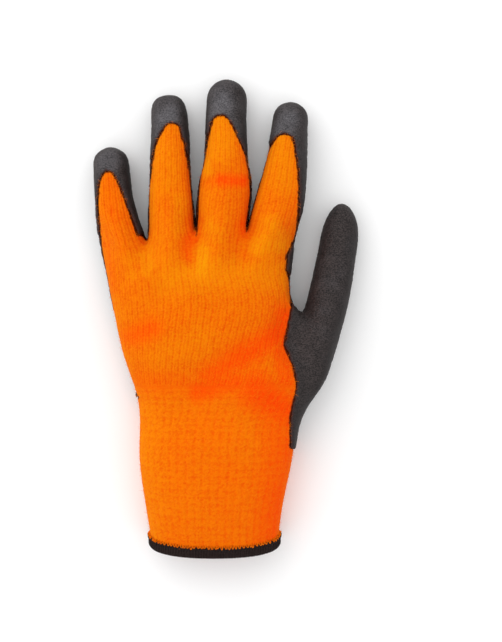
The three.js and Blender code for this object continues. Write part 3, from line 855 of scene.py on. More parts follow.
class MeshParts:
    """Points, faces and point attributes of a piece that is put together from several parts."""

    def __init__(self, *names):
        self.names = names
        self.points = []
        self.faces = []
        self.values = {name: [] for name in names}
        self.count = 0

    def add(self, points, faces, **values):
        points = np.asarray(points, float)
        self.points.append(points)
        self.faces.append(np.asarray(faces, int) + self.count)
        self.count += len(points)
        for name in self.names:
            value = values.get(name, 0.0)
            self.values[name].append(np.broadcast_to(np.asarray(value, float), (len(points),)))

    def make(self, name, material, shift):
        points = (np.concatenate(self.points) + shift) * MM
        values = {key: np.concatenate(parts) for key, parts in self.values.items()}
        points, faces, values = compact(points, self.faces, values)
        corners = np.concatenate([face.ravel() for face in faces])
        sizes = np.concatenate([np.full(len(face), face.shape[1]) for face in faces])
        starts = np.concatenate([[0], np.cumsum(sizes)[:-1]])
        mesh = bpy.data.meshes.new(name)
        mesh.vertices.add(len(points))
        mesh.vertices.foreach_set("co", points.ravel())
        mesh.loops.add(len(corners))
        mesh.loops.foreach_set("vertex_index", corners)
        mesh.polygons.add(len(sizes))
        mesh.polygons.foreach_set("loop_start", starts)
        mesh.update(calc_edges=True)
        mesh.polygons.foreach_set("use_smooth", np.ones(len(sizes), bool))
        for key, numbers in values.items():
            attribute = mesh.attributes.new(key, "FLOAT", "POINT")
            attribute.data.foreach_set("value", numbers)
        mesh.materials.append(material)
        mesh.validate()
        piece = bpy.data.objects.new(name, mesh)
        bpy.context.scene.collection.objects.link(piece)
        return piece


def stand_for(piece, slot, *nodes):
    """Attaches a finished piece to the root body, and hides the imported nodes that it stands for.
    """
    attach(piece, "root")
    if nodes:
        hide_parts(*nodes)


def fill(tree, node, inputs):
    """Sets a node's inputs, and links those whose value is a socket."""
    for name, value in inputs.items():
        if isinstance(value, bpy.types.NodeSocket):
            tree.links.new(value, node.inputs[name])
        else:
            node.inputs[name].default_value = value


def add_node(tree, kind, inputs=None, **settings):
    """A shader node with its settings, and its inputs set or linked."""
    node = tree.nodes.new(kind)
    for name, value in settings.items():
        setattr(node, name, value)
    fill(tree, node, inputs or {})
    return node


def mix_colour(tree, share, first, second):
    """A mix of two colours, each a value or a socket."""
    inputs = {0: share, 6: first, 7: second}
    return add_node(tree, "ShaderNodeMix", inputs, data_type="RGBA", blend_type="MIX").outputs[2]


def calculate(tree, operation, first, second=0.0, third=0.0):
    """A sum, product or other number worked out from sockets or values."""
    node = add_node(tree, "ShaderNodeMath", {0: first, 1: second, 2: third}, operation=operation)
    return node.outputs[0]


def stretch(tree, value, low, high, to_low=0.0, to_high=1.0, kind="SMOOTHSTEP"):
    """A value mapped from one range to another, and kept inside it."""
    node = add_node(
        tree,
        "ShaderNodeMapRange",
        {"Value": value, "From Min": low, "From Max": high, "To Min": to_low, "To Max": to_high},
        interpolation_type=kind,
    )
    return node.outputs["Result"]


def read_attribute(tree, name):
    return add_node(tree, "ShaderNodeAttribute", attribute_name=name).outputs["Fac"]


def add_noise(tree, size, detail=2.0, roughness=0.5, flatten=None):
    """Noise with features about as wide as size, in metres."""
    place = add_node(tree, "ShaderNodeTexCoord").outputs["Object"]
    if flatten:
        inputs = {"Vector": place, "Scale": flatten}
        place = add_node(tree, "ShaderNodeMapping", inputs).outputs["Vector"]
    inputs = {"Vector": place, "Scale": 1 / size, "Detail": detail, "Roughness": roughness}
    return add_node(tree, "ShaderNodeTexNoise", inputs).outputs["Fac"]


def sway(tree, noise, amount, value):
    """A value raised and lowered by a noise."""
    return calculate(tree, "MULTIPLY_ADD", calculate(tree, "SUBTRACT", noise, 0.5), amount, value)


def add_bump(tree, height, strength, depth):
    """The bent normal of a fine relief, with its depth in millimetres."""
    inputs = {"Strength": strength, "Distance": depth * MM, "Height": height}
    return add_node(tree, "ShaderNodeBump", inputs).outputs["Normal"]


def new_material(name):
    """An empty material: its node tree and its principled shader."""
    material = bpy.data.materials.new(name)
    material.use_nodes = True
    tree = material.node_tree
    return material, tree, tree.nodes["Principled BSDF"]


def opaque(colour):
    return (*colour, 1.0)


# Settings


def length_setting(name, description, size, low=0.0):
    """A size that the user can change. size and low are in millimetres."""
    return FloatProperty(
        name=name, description=description, default=size * MM, min=low * MM, unit="LENGTH"
    )


def colour_setting(name, description, *colour):
    """A colour that the user can change."""
    return FloatVectorProperty(
        name=name, description=description, default=colour, min=0.0, max=1.0, subtype="COLOR"
    )


class GLOVE_PG_knit(bpy.types.PropertyGroup):
    """Sizes and colours of the knitted hand."""

    course_pitch: length_setting("Course Pitch", "Height of one course of stitches", 1.6, 0.5)
    groove_depth: length_setting(
        "Groove Depth", "How much deeper the groove between two wales is", 0.18
    )
    leg_depth: length_setting(
        "Leg Depth", "Depth of the lines on both sides of each leg of a wale", 0.3
    )
    stitch_depth: length_setting(
        "Stitch Depth", "Depth of the dip between one stitch and the next", 0.2
    )
    crown_colour: colour_setting("Crown Colour", "Colour of the wales", 0.79, 0.172, 0.0006)
    # Painted shade: the colour down in the grooves between the wales
    groove_shade_colour: colour_setting(
        "Groove Colour", "Colour of the grooves between the wales", 0.70, 0.076, 0.0002
    )
    # Painted shade: the colour in the folds
    fold_shade_colour: colour_setting("Deep Colour", "Colour down in the folds", 0.86, 0.044, 0.0002)
    # Painted highlight: the colour where the back stands up and faces the light
    painted_highlight_colour: colour_setting(
        "Raised Colour", "Colour where the back stands up", 0.78, 0.27, 0.0008
    )
    # The knit's colour in a dark line along the edge of the latex
    border_dark_colour: colour_setting(
        "Stain Colour", "Colour of the knit soaked by the edge of the latex", 0.09, 0.012, 0.004
    )


class GLOVE_PG_cuff(bpy.types.PropertyGroup):
    """Sizes of the elastic cuff."""

    row_pitch: length_setting("Row Pitch", "Height of one row of the rib", 3.6, 0.5)
    rib_depth: length_setting("Rib Depth", "Depth of the groove between two ribs", 0.42)
    tooth_pitch: length_setting(
        "Tooth Pitch", "Distance between the loops that lap over the hem's top edge", 1.8, 0.5
    )


class GLOVE_PG_latex(bpy.types.PropertyGroup):
    """Sizes and colours of the dipped latex."""

    crinkle_size: length_setting("Crinkle Size", "Width of the crinkles on the palm", 3.4, 0.5)
    crinkle_depth: length_setting("Crinkle Depth", "Depth of the crinkles on the palm", 0.55)
    lip: length_setting(
        "Lip", "Width over which the edge of the latex rounds down to the knit", 1.7, 0.1
    )
    jag: length_setting("Jag", "How far the edge of the latex wanders", 0.55)
    colour: colour_setting("Colour", "Colour of the latex's light grain", 0.052, 0.041, 0.04)
    # Painted sheen: the colour of the paler patches on the fingertips
    tip_sheen_colour: colour_setting(
        "Tip Colour", "Colour of the rubbed, lighter places on the fingertips", 0.15, 0.143, 0.155
    )
    # Painted shade: the colour down in the crinkles and on the side away from the light
    crease_shade_colour: colour_setting(
        "Crease Colour", "Colour down in the crinkles", 0.007, 0.005, 0.005
    )


class GLOVE_PG_hem(bpy.types.PropertyGroup):
    """Sizes and colour of the overlocked hem."""

    thread_radius: length_setting("Thread Radius", "Radius of the overlock thread", 0.36, 0.05)
    stitch_pitch: length_setting(
        "Stitch Pitch", "Distance between two overlock stitches", 1.45, 0.3
    )
    colour: colour_setting("Colour", "Colour of the thread", 0.011, 0.006, 0.0055)


class GLOVE_PG_fibres(bpy.types.PropertyGroup):
    """Sizes of the brushed fibres."""

    count: IntProperty(
        name="Count", description="Number of fibres that stand off the knit",
        default=7000, min=0, max=16000,
    )
    length: length_setting("Length", "Length of a fibre", 2.0, 0.2)
    width: length_setting("Width", "Width of a fibre", 0.07, 0.01)
    seed: IntProperty(
        name="Seed", description="Number that sets the fibres' places", default=11, min=0,
    )


class GLOVE_PG_stage(bpy.types.PropertyGroup):
    """Light, floor and camera."""

    camera_height: length_setting(
        "Camera Height", "Height of the camera over the floor", 900.0, 200.0
    )
    key_power: FloatProperty(
        name="Key Power", description="Power of the soft light from the upper left",
        default=5.0, min=0.0, unit="POWER",
    )
    sky_strength: FloatProperty(
        name="Sky Strength", description="Strength of the even light from all around",
        default=1.08, min=0.0,
    )
    floor_colour: colour_setting("Floor Colour", "Colour of the floor", 0.97, 0.97, 0.97)


class GLOVE_PG_settings(bpy.types.PropertyGroup):
    """All the glove's settings."""

    knit: PointerProperty(type=GLOVE_PG_knit, name="Knit", description="The knitted hand")
    cuff: PointerProperty(type=GLOVE_PG_cuff, name="Cuff", description="The elastic cuff")
    latex: PointerProperty(type=GLOVE_PG_latex, name="Latex", description="The dipped latex")
    hem: PointerProperty(type=GLOVE_PG_hem, name="Hem", description="The overlocked hem")
    fibres: PointerProperty(type=GLOVE_PG_fibres, name="Fibres", description="The brushed fibres")
    stage: PointerProperty(type=GLOVE_PG_stage, name="Stage", description="Light, floor and camera")


# Finishes


def brushed_knit_finish(name, knit):
    """Bright orange brushed acrylic: painted shade, darker and redder, down in the grooves and the
    folds, and a painted highlight, yellower, where the back stands up and on the side facing the
    light.
    """
    material, tree, shader = new_material(name)
    groove = read_attribute(tree, "groove")
    shade = read_attribute(tree, "shade")
    stain = read_attribute(tree, "stain")
    blotches = add_noise(tree, 14 * MM, 2.0)
    flecks = add_noise(tree, 0.7 * MM, 2.0, 0.6)
    down = sway(tree, blotches, 0.3, sway(tree, flecks, 1.3, groove))
    down = stretch(tree, down, 0.0, 1.0, kind="LINEAR")
    # Painted shade in the grooves and stitch lines, mixed with random darker and lighter tufts of
    # yarn
    yarn_and_groove_shade = mix_colour(tree, down, opaque(knit.crown_colour), opaque(knit.groove_shade_colour))
    # Painted highlight where the shade attribute is below 0, painted shade where it is above 0
    high = calculate(tree, "MULTIPLY", shade, calculate(tree, "MULTIPLY_ADD", down, 0.55, -1.0))
    highlighted = mix_colour(tree, high, yarn_and_groove_shade, opaque(knit.painted_highlight_colour))
    low = calculate(tree, "MULTIPLY", shade, calculate(tree, "MULTIPLY_ADD", down, 0.25, 0.8))
    fold_shaded = mix_colour(tree, low, highlighted, opaque(knit.fold_shade_colour))
    # Darker in a line along the edge of the latex
    border_darkened = stretch(tree, sway(tree, flecks, 0.5, stain), 0.25, 0.85)
    border_darkened = calculate(tree, "MULTIPLY", border_darkened, stretch(tree, stain, 0.0, 0.2))
    fill(tree, shader, {
        "Base Color": mix_colour(tree, border_darkened, fold_shaded, opaque(knit.border_dark_colour)),
        "Normal": add_bump(tree, add_noise(tree, 0.35 * MM, 4.0, 0.7), 0.55, 0.25),
        "Roughness": stretch(tree, flecks, 0.3, 0.7, 0.86, 1.0),
        "Specular IOR Level": 0.03,
        "Sheen Weight": 0.04,
        "Sheen Roughness": 0.6,
        "Sheen Tint": (1.0, 0.45, 0.12, 1.0),
    })
    return material


def latex_finish(latex):
    """Charcoal dipped latex: a soft sheen, fine grain, painted shade in the creases and on the side
    away from the light, and a painted sheen, paler, at the tips.
    """
    material, tree, shader = new_material("dark_dipped_latex")
    crease = read_attribute(tree, "groove")
    edge = read_attribute(tree, "edge")
    tip = read_attribute(tree, "tip")
    clouds = add_noise(tree, 6 * MM, 3.0)
    grain = add_noise(tree, 0.85 * MM, 2.0, 0.6, (1.0, 1.7, 1.0))
    speckle = stretch(tree, sway(tree, clouds, 0.15, grain), 0.38, 0.62, kind="LINEAR")
    # Painted sheen on the tips, over the dark and the light grain
    sheen_dark = tuple(0.35 * part for part in latex.tip_sheen_colour)
    dark = mix_colour(tree, tip, opaque(latex.crease_shade_colour), opaque(sheen_dark))
    light = mix_colour(tree, tip, opaque(latex.colour), opaque(latex.tip_sheen_colour))
    speckled = mix_colour(tree, speckle, dark, light)
    # Painted shade in the crinkles and on the side away from the light
    crease_shaded = mix_colour(tree, crease, speckled, opaque(latex.crease_shade_colour))
    fill(tree, shader, {
        "Base Color": mix_colour(tree, edge, crease_shaded, (0.05, 0.018, 0.014, 1.0)),
        "Normal": add_bump(tree, add_noise(tree, 1.1 * MM, 5.0, 0.75), 0.6, 0.2),
        "Roughness": stretch(tree, grain, 0.25, 0.75, 0.5, 0.72),
        "Specular IOR Level": 0.18,
    })
    return material


def thread_finish(hem):
    """Nearly black overlock thread, with a twist of lighter fibre."""
    material, tree, shader = new_material("dark_overlock_thread")
    strand = add_noise(tree, 0.6 * MM, 3.0, 0.6)
    light = tuple(min(1.0, part * 2.6) for part in hem.colour)
    twist = stretch(tree, strand, 0.35, 0.75)
    fill(tree, shader, {
        "Base Color": mix_colour(tree, twist, opaque(hem.colour), opaque(light)),
        "Normal": add_bump(tree, strand, 0.5, 0.15),
        "Roughness": 0.85,
        "Specular IOR Level": 0.15,
        "Sheen Weight": 0.03,
    })
    return material


def fibre_finish(knit):
    """Loose acrylic fibre, lighter than the yarn under it."""
    material, tree, shader = new_material("loose_orange_fibre")
    spread = add_noise(tree, 5 * MM)
    fill(tree, shader, {
        "Base Color": mix_colour(tree, spread, opaque(knit.crown_colour), (1.0, 0.27, 0.01, 1.0)),
        "Roughness": 0.9,
        "Specular IOR Level": 0.1,
    })
    return material


# Relief


def wale_relief(around, along, knit):
    """Height in millimetres and groove share of the plain knit, by its wales and courses. The
    groove share is painted shade in the grooves and the lines between the stitches.
    """
    across = np.abs(2 * (around - np.floor(around)) - 1)
    groove = smooth(0.4, 1.0, across)
    lines = 0.5 + 0.5 * np.cos(2 * np.pi * across)
    slanted = 0.5 + 0.5 * np.cos(2 * np.pi * (along - 0.5 * across))
    depth = knit.groove_depth * groove + knit.leg_depth * lines
    depth = depth + knit.stitch_depth * slanted * (1 - lines)
    share = 0.18 * groove + 0.38 * lines * (0.8 + 0.2 * slanted) + 0.2 * slanted
    return -depth / MM, share


def rib_relief(around, along, cuff):
    """Height in millimetres and groove share of the elastic rib. The groove share is painted shade
    in its grooves and broken rows.
    """
    across = np.abs(2 * (around - np.floor(around)) - 1)
    groove = smooth(0.35, 1.0, across)
    broken = smooth(-0.2, 0.8, np.cos(2 * np.pi * along))
    legs = 1 - smooth(0.0, 0.3, across)
    slanted = 0.5 + 0.5 * np.cos(4 * np.pi * (along - 0.3 * across))
    depth = cuff.rib_depth * groove * (0.55 + 0.45 * broken) + 0.12 * MM * legs * broken
    depth = depth + 0.16 * MM * slanted * (1 - groove)
    share = 0.3 * groove * (0.5 + 0.5 * broken) + 0.12 * legs * broken
    share = share + 0.26 * slanted + 0.08 * broken
    return -depth / MM, share


def width_share(points, rows):
    """From -1 at the left edges of a table's rows to 1 at their right edges."""
    left, right = (read_rows(points[:, 1], rows, side) for side in ("left", "right"))
    return (2 * points[:, 0] - left - right) / (right - left)


def straighten(points, around):
    """The wales' numbers around the hand, with the wales led up straight and past the thumb."""
    drift = width_share(points, WALE_EDGES) - width_share(points, HAND_ROWS)
    return around + WALES_TO_A_SHARE * drift


def felt(points, seed):
    """Groove share of the brushed pile: small dark and light tufts all over."""
    return 0.42 * value_noise(points, 0.85, seed) + 0.1 * value_noise(points, 2.3, seed + 1)


def blend_seam(points, height, groove):
    """Height and groove share faded out towards the line where the plain knit meets the rib."""
    share = smooth(0.0, 1.6, np.abs(points[:, 1] - RIB_TOP))
    return height * share - 0.25 * (1 - share), groove * share + 0.35 * (1 - share)


def wander(points, seed):
    """How far the yarn strays from its even rows, as a share of a wale."""
    return 0.13 * value_noise(points, 9.0, seed) + 0.07 * value_noise(points, 2.6, seed + 1)


def find_side(normals):
    """From -1 where the surface faces the light at the left, to 1 where it faces away."""
    return normals @ SHADE_SIDE


def find_painted_light(points, normals):
    """Painted light on the knit: from -1, a painted highlight, yellower, where the back stands up
    and on the side facing the light, to 1, painted shade, redder, in the folds and on the side away
    from the light.
    """
    redder = np.zeros(len(points))
    yellower = np.zeros(len(points))
    for line in PAINTED_LIGHT:
        tint = line.weight * near_line(points, line)
        redder = np.maximum(redder, tint)
        yellower = np.minimum(yellower, tint)
    tint = (redder + yellower) * smooth(0.0, 0.6, normals[:, 2])
    side = find_side(normals)
    # Painted shade on the side away from the light, painted highlight on the side facing it
    tint += 0.25 * smooth(0.1, 0.9, side) - 0.35 * smooth(0.15, 0.95, -side)
    return np.clip(tint + 0.1 * value_noise(points, 14.0, seed=91), -1, 1)


def find_tip_sheen(points, normals):
    """Painted sheen: how pale the latex is made, from 0 to 1, most in one patch on each fingertip,
    on the side facing the light and where it faces up.
    """
    tip_sheen = 0.3 * smooth(SHEEN_FROM, SHEEN_TO, points[:, 1])
    for line in TIP_SHEENS:
        tip_sheen += line.weight * near_line(points, line, flat=0.3)
    tip_sheen *= 1 - 0.9 * smooth(-0.1, 0.7, find_side(normals))
    tip_sheen = np.clip(tip_sheen + 0.12 * value_noise(points, 5.0, seed=95), 0, 1)
    return tip_sheen * smooth(0.15, 0.8, normals[:, 2])


# The knit's surface, kept once it is worked out
surfaces = {}


def the_surface():
    """The knit's surface, worked out once."""
    if "knit" not in surfaces:
        surfaces["knit"] = KnitSurface()
    return surfaces["knit"]


# Pieces


def lay_knit(surface, belongs, division, wales, pitch):
    """A sheet of knit over the faces that belong, finely enough divided for its stitches."""
    def count_steps(label):
        part, _, column = label
        up = surface.count_rows(label, pitch) * division["up"]
        return division[width_kind(part, column)], up

    return surface.lay(surface.choose(belongs), count_steps, wales, pitch)


def add_knit(parts, sheet, height, groove):
    """Adds a sheet of knit with its relief, pressed down and darker where the latex begins."""
    points = sheet.points
    bare = bare_depth(points)
    height, groove = blend_seam(points, height, groove + felt(points, seed=81))
    height -= PRESSED * smooth(1.6, -0.8, bare)
    placed = settle(points, sheet.normals, height)
    # Darker in a line along the edge of the latex
    stain = smooth(1.9, -0.2, bare + 0.45 * value_noise(points, 1.7, seed=31))
    kept = bare[sheet.quads].max(axis=1) > -UNDER_LATEX
    # Painted light: painted shade in the folds and on the side away from the light, painted
    # highlight on raised places and on the side facing it
    shade = find_painted_light(points, sheet.normals)
    parts.add(placed, sheet.quads[kept], groove=groove, shade=shade, stain=stain)


def add_rib(parts, surface, cuff, rows):
    """The elastic rib over some rows of the cage."""
    sheet = lay_knit(
        surface, lambda part, row: part == "hand" and row in rows, RIB_STEPS, RIBS, cuff.row_pitch
    )
    points = sheet.points
    height, groove = rib_relief(
        sheet.around + wander(points, seed=2), sheet.along + wander(points, seed=6), cuff
    )
    height = height + 0.08 * value_noise(points, 5.0, seed=25)
    height = height + 0.09 * value_noise(points, 1.1, seed=27)
    add_knit(parts, sheet, height, groove)


def add_lining(parts, surface, belongs):
    """The inside of the knit, facing the hollow."""
    lining = surface.lay(surface.choose(belongs), lambda label: (LINING_STEPS, LINING_STEPS))
    rough = 0.25 * value_noise(lining.points, 3.0, seed=41)
    placed = settle(lining.points, lining.normals, rough - KNIT_WALL)
    # Painted shade inside the glove: the lining is given a darker, redder colour
    parts.add(placed, lining.quads[:, ::-1], groove=0.5, shade=0.6)


def has_plain_knit(part, row):
    """Whether the plain knit shows on a row of faces, in places at least."""
    if part == "hand":
        return row > CUFF_ROWS
    return row < (1 if part == "thumb" else 4)


def make_brushed_knit(knit, cuff):
    """The knitted hand where it shows, its first ribbed rows, and its lining."""
    surface = the_surface()
    parts = MeshParts("groove", "shade", "stain")
    sheet = lay_knit(surface, has_plain_knit, KNIT_STEPS, WALES, knit.course_pitch)
    points = sheet.points
    around = straighten(points, sheet.around)
    height, groove = wale_relief(
        around + wander(points, seed=1), sheet.along + wander(points, seed=5), knit
    )
    height = height * (0.85 + 0.3 * value_noise(points, 6.0, seed=9))
    height = height + 0.1 * value_noise(points, 4.5, seed=21)
    height = height + 0.05 * value_noise(points, 1.1, seed=23)
    add_knit(parts, sheet, height, groove)
    add_rib(parts, surface, cuff, (CUFF_ROWS,))
    add_lining(parts, surface, lambda part, row: part != "hand" or row >= CUFF_ROWS)
    material = brushed_knit_finish("brushed_orange_knit", knit)
    piece = parts.make("brushed_knit_hand", material, surface.shift)
    stand_for(piece, "orange_knit", "knit_hand")


def make_ribbed_cuff(cuff, knit):
    """The elastic cuff with its ribs, its lining, and the loops that lap over the hem."""
    surface = the_surface()
    parts = MeshParts("groove", "shade", "stain")
    add_rib(parts, surface, cuff, range(CUFF_ROWS))
    add_lining(parts, surface, lambda part, row: part == "hand" and row < CUFF_ROWS)
    add_hem_loops(parts, surface, cuff)
    material = brushed_knit_finish("elastic_orange_rib", knit)
    piece = parts.make("ribbed_cuff", material, surface.shift)
    stand_for(piece, "orange_rib", "knit_cuff")


def rim_frame(surface, turns, along):
    """Points and normals around the wrist, turns from 0 to 1, at a height up from the rim."""
    columns = np.floor(turns * COLUMNS).astype(int) % COLUMNS
    u = turns * COLUMNS - np.floor(turns * COLUMNS)
    rings = [
        np.array([surface.labels.index(("hand", row, column)) for column in range(COLUMNS)])
        for row in (0, 1)
    ]
    first, second = (ring[columns] for ring in rings)
    share = along / surface.lengths["hand", 0]
    above = share > 1
    beyond = (along - surface.lengths["hand", 0]) / surface.lengths["hand", 1]
    v = np.clip(np.where(above, beyond, share), 0, 1)
    points, normals = surface.sample(np.where(above, second, first), u, v)
    below = np.minimum(along, 0.0)
    step, _ = surface.sample(first, u, np.full(len(u), 0.25))
    start, _ = surface.sample(first, u, np.zeros(len(u)))
    direction = (step - start) / np.linalg.norm(step - start, axis=1, keepdims=True)
    return points + direction * below[:, None], normals


def rim_length(surface):
    """How long the cuff's rim is, in millimetres."""
    turns = np.linspace(0, 1, 400, endpoint=False)
    points, _ = rim_frame(surface, turns, np.zeros(len(turns)))
    return np.linalg.norm(np.roll(points, -1, axis=0) - points, axis=1).sum()


def sweep_tube(lines, radius, closed=False):
    """Tubes along several lines of equally many points. lines is lines by points by 3."""
    lines = np.asarray(lines, float)
    sides = THREAD_SIDES
    count, length, _ = lines.shape
    ahead = np.roll(lines, -1, axis=1) - np.roll(lines, 1, axis=1)
    if not closed:
        ahead[:, 0] = lines[:, 1] - lines[:, 0]
        ahead[:, -1] = lines[:, -1] - lines[:, -2]
    ahead /= np.linalg.norm(ahead, axis=2, keepdims=True)
    side = np.cross(ahead, (0.31, 0.83, 0.47))
    side /= np.linalg.norm(side, axis=2, keepdims=True)
    other = np.cross(ahead, side)
    radius = np.broadcast_to(radius, (count, length))[..., None]
    rings = []
    for step in range(sides):
        angle = 2 * np.pi * step / sides
        rings.append(lines + radius * (side * math.cos(angle) + other * math.sin(angle)))
    points = np.stack(rings, axis=2)
    index = np.arange(count * length * sides).reshape(count, length, sides)
    near = index if closed else index[:, :-1]
    far = np.roll(index, -1, axis=1) if closed else index[:, 1:]
    quads = np.stack([near, np.roll(near, -1, axis=2), np.roll(far, -1, axis=2), far], axis=3)
    return points.reshape(-1, 3), quads.reshape(-1, 4)


def add_hem_loops(parts, surface, cuff):
    """Small loops of orange yarn that lap over the hem's top edge."""
    count = int(rim_length(surface) / (cuff.tooth_pitch / MM))
    random = np.random.default_rng(5)
    share = np.linspace(0, 1, 9)
    arch = np.sin(np.pi * share)
    lines = []
    for tooth in range(count):
        centre = (tooth + random.uniform(-0.2, 0.2)) / count
        half = random.uniform(0.26, 0.36) / count
        drop = random.uniform(0.0, 0.4)
        lean = random.uniform(-0.2, 0.2) / count
        turns = centre + half * np.cos(np.pi * (1 - share)) + lean * arch
        along = HEM_HEIGHT + LOOP_LAP - (LOOP_LAP + drop) * arch**0.7
        out = -0.25 + (1.35 + random.uniform(-0.1, 0.25)) * arch**0.6
        points, normals = rim_frame(surface, turns % 1, along)
        lines.append(lift(settle(points, normals, out), LOOP_RADIUS))
    points, quads = sweep_tube(lines, LOOP_RADIUS)
    parts.add(points, quads, groove=0.25 + 0.3 * np.sin(points[:, 0] * 5.0))


def divide_latex(surface):
    """How finely each face is divided for the latex, so that neighbours meet point to point."""
    lengths = [surface.lengths["hand", row] for row in range(len(HAND_ROWS))]
    hand_steps = [round(length / LATEX_STEP) for length in lengths]

    def digit_steps(part, column):
        if part == "thumb" and column in (0, 5):
            return hand_steps[THUMB_ROW + 1]
        if part == "thumb" and column in (1, 4):
            return hand_steps[THUMB_ROW]
        return LATEX_STEPS[width_kind(part, column)]

    def count_steps(label):
        part, row, column = label
        if part == "hand":
            return LATEX_STEPS[width_kind(part, column)], hand_steps[row]
        if row == len(DIGITS[part]) - 1:
            return digit_steps(part, column), digit_steps(part, (column + 1) % 8)
        return digit_steps(part, column), max(3, round(surface.lengths[part, row] / LATEX_STEP))

    return count_steps


def make_latex_skin(latex):
    """The dipped latex: one skin over the palm, the thumb, the finger sides and the tips."""
    surface = the_surface()
    sheet = surface.lay(
        surface.choose(lambda part, row: part != "hand" or row >= 2), divide_latex(surface)
    )

    def border(points):
        jag = value_noise(points, 2.3, seed=51) + 0.6 * value_noise(points, 0.9, seed=53)
        return bare_depth(points) + latex.jag / MM * jag

    points = sheet.points.copy()
    bare = border(points)
    kept = bare[sheet.quads].min(axis=1) < 0
    near = np.zeros(len(points), bool)
    near[np.unique(sheet.quads[kept])] = True
    near &= bare > 0
    points[near] = pull_to_border(points[near], sheet.normals[near], border)
    inside = np.where(near, 0.0, -np.minimum(bare, 0.0))
    rise = np.clip(inside / (latex.lip / MM), 0, 1)
    thickness = THIN_LATEX + (LATEX_OUT - THIN_LATEX) * np.sqrt(1 - (1 - rise) ** 2)
    palm = smooth(0.25, -0.35, sheet.normals[:, 2])
    height, crease = crinkle(points, latex)
    ripple = 0.1 * value_noise(points, 3.2, seed=61) + 0.05 * value_noise(points, 1.3, seed=63)
    out = thickness + (height * (0.16 + 0.84 * palm) + ripple * (1 - palm)) * rise
    placed = settle(points, sheet.normals, out)
    # Painted shade on the side of the latex away from the light
    shade = 0.5 * smooth(0.0, 0.9, find_side(sheet.normals))
    groove = np.maximum(crease * (0.12 + 0.88 * palm), shade)
    edge = 1 - smooth(0.0, 0.6, inside)
    # Painted sheen on the fingertips
    tip = find_tip_sheen(points, sheet.normals)
    parts = MeshParts("groove", "edge", "tip")
    parts.add(placed, sheet.quads[kept], groove=groove, edge=edge, tip=tip)
    piece = parts.make("dipped_latex_skin", latex_finish(latex), surface.shift)
    stand_for(piece, "dark_latex", "latex_coating")


def pull_to_border(points, normals, border):
    """Points slid along the surface onto the line where the border's value is nought."""
    step, longest, flattest = 0.05, 0.6, 0.15
    moved = points.copy()
    for _ in range(2):
        value = border(moved)
        ahead = [border(moved + axis * step) for axis in np.eye(3)]
        slope = (np.stack(ahead, axis=1) - value[:, None]) / step
        slope -= normals * (slope * normals).sum(axis=1, keepdims=True)
        size = (slope * slope).sum(axis=1, keepdims=True)
        slide = -value[:, None] * slope / np.maximum(size, flattest)
        length = np.linalg.norm(slide, axis=1, keepdims=True)
        moved += slide * np.minimum(1, longest / np.maximum(length, 1e-9))
    return moved


def crinkle(points, latex):
    """Height in millimetres and crease share of the crinkled latex."""
    size = latex.crinkle_size / MM
    astray = [value_noise(points, size, seed) for seed in (71, 72, 73)]
    bent = points + 0.9 * np.stack(astray, axis=1)
    broad = np.abs(value_noise(bent, size, seed=75))
    fine = np.abs(value_noise(bent, size * 0.52, seed=77))
    crease = np.clip(1 - smooth(0.0, 0.24, broad) * (0.55 + 0.45 * smooth(0.0, 0.3, fine)), 0, 1)
    return -latex.crinkle_depth / MM * crease, crease


def make_overlocked_hem(hem):
    """The hem: a band of thread around the wrist with the overlock stitches wrapped over it."""
    surface = the_surface()
    parts = MeshParts("groove")
    turns = np.linspace(0, 1, 360, endpoint=False)
    section = hem_section()
    rings = []
    for along, out in section:
        points, normals = rim_frame(surface, turns, np.full(len(turns), along))
        rings.append(settle(points, normals, np.full(len(turns), out - HEM_SINK)))
    index = np.arange(len(rings) * len(turns)).reshape(len(rings), len(turns))
    near, far = index, np.roll(index, -1, axis=0)
    quads = np.stack([near, np.roll(near, -1, axis=1), np.roll(far, -1, axis=1), far], axis=2)
    parts.add(np.concatenate(rings), quads.reshape(-1, 4)[:, ::-1])
    add_overlock(parts, surface, hem, section)
    piece = parts.make("overlocked_hem", thread_finish(hem), surface.shift)
    stand_for(piece, "dark_thread", "hem_binding")


def hem_section():
    """The hem's outline, from its top edge outside, round the knit's edge, to the one inside."""
    inner = -KNIT_WALL - HEM_OUT
    middle = -KNIT_WALL / 2
    levels = (3.2, 1.8, 0.7)
    outside = [(HEM_HEIGHT, 0.35), (HEM_HEIGHT - 0.35, 0.8)]
    outside += [(level, HEM_OUT) for level in levels]
    around = []
    for step in range(1, 6):
        angle = math.pi * step / 6
        out = middle + (HEM_OUT - middle) * math.cos(angle)
        around.append((0.35 - 0.85 * math.sin(angle), out))
    inside = [(level, inner) for level in reversed(levels)]
    inside += [(HEM_HEIGHT - 0.35, inner + 0.15), (HEM_HEIGHT, inner + 0.6)]
    return outside + around + inside


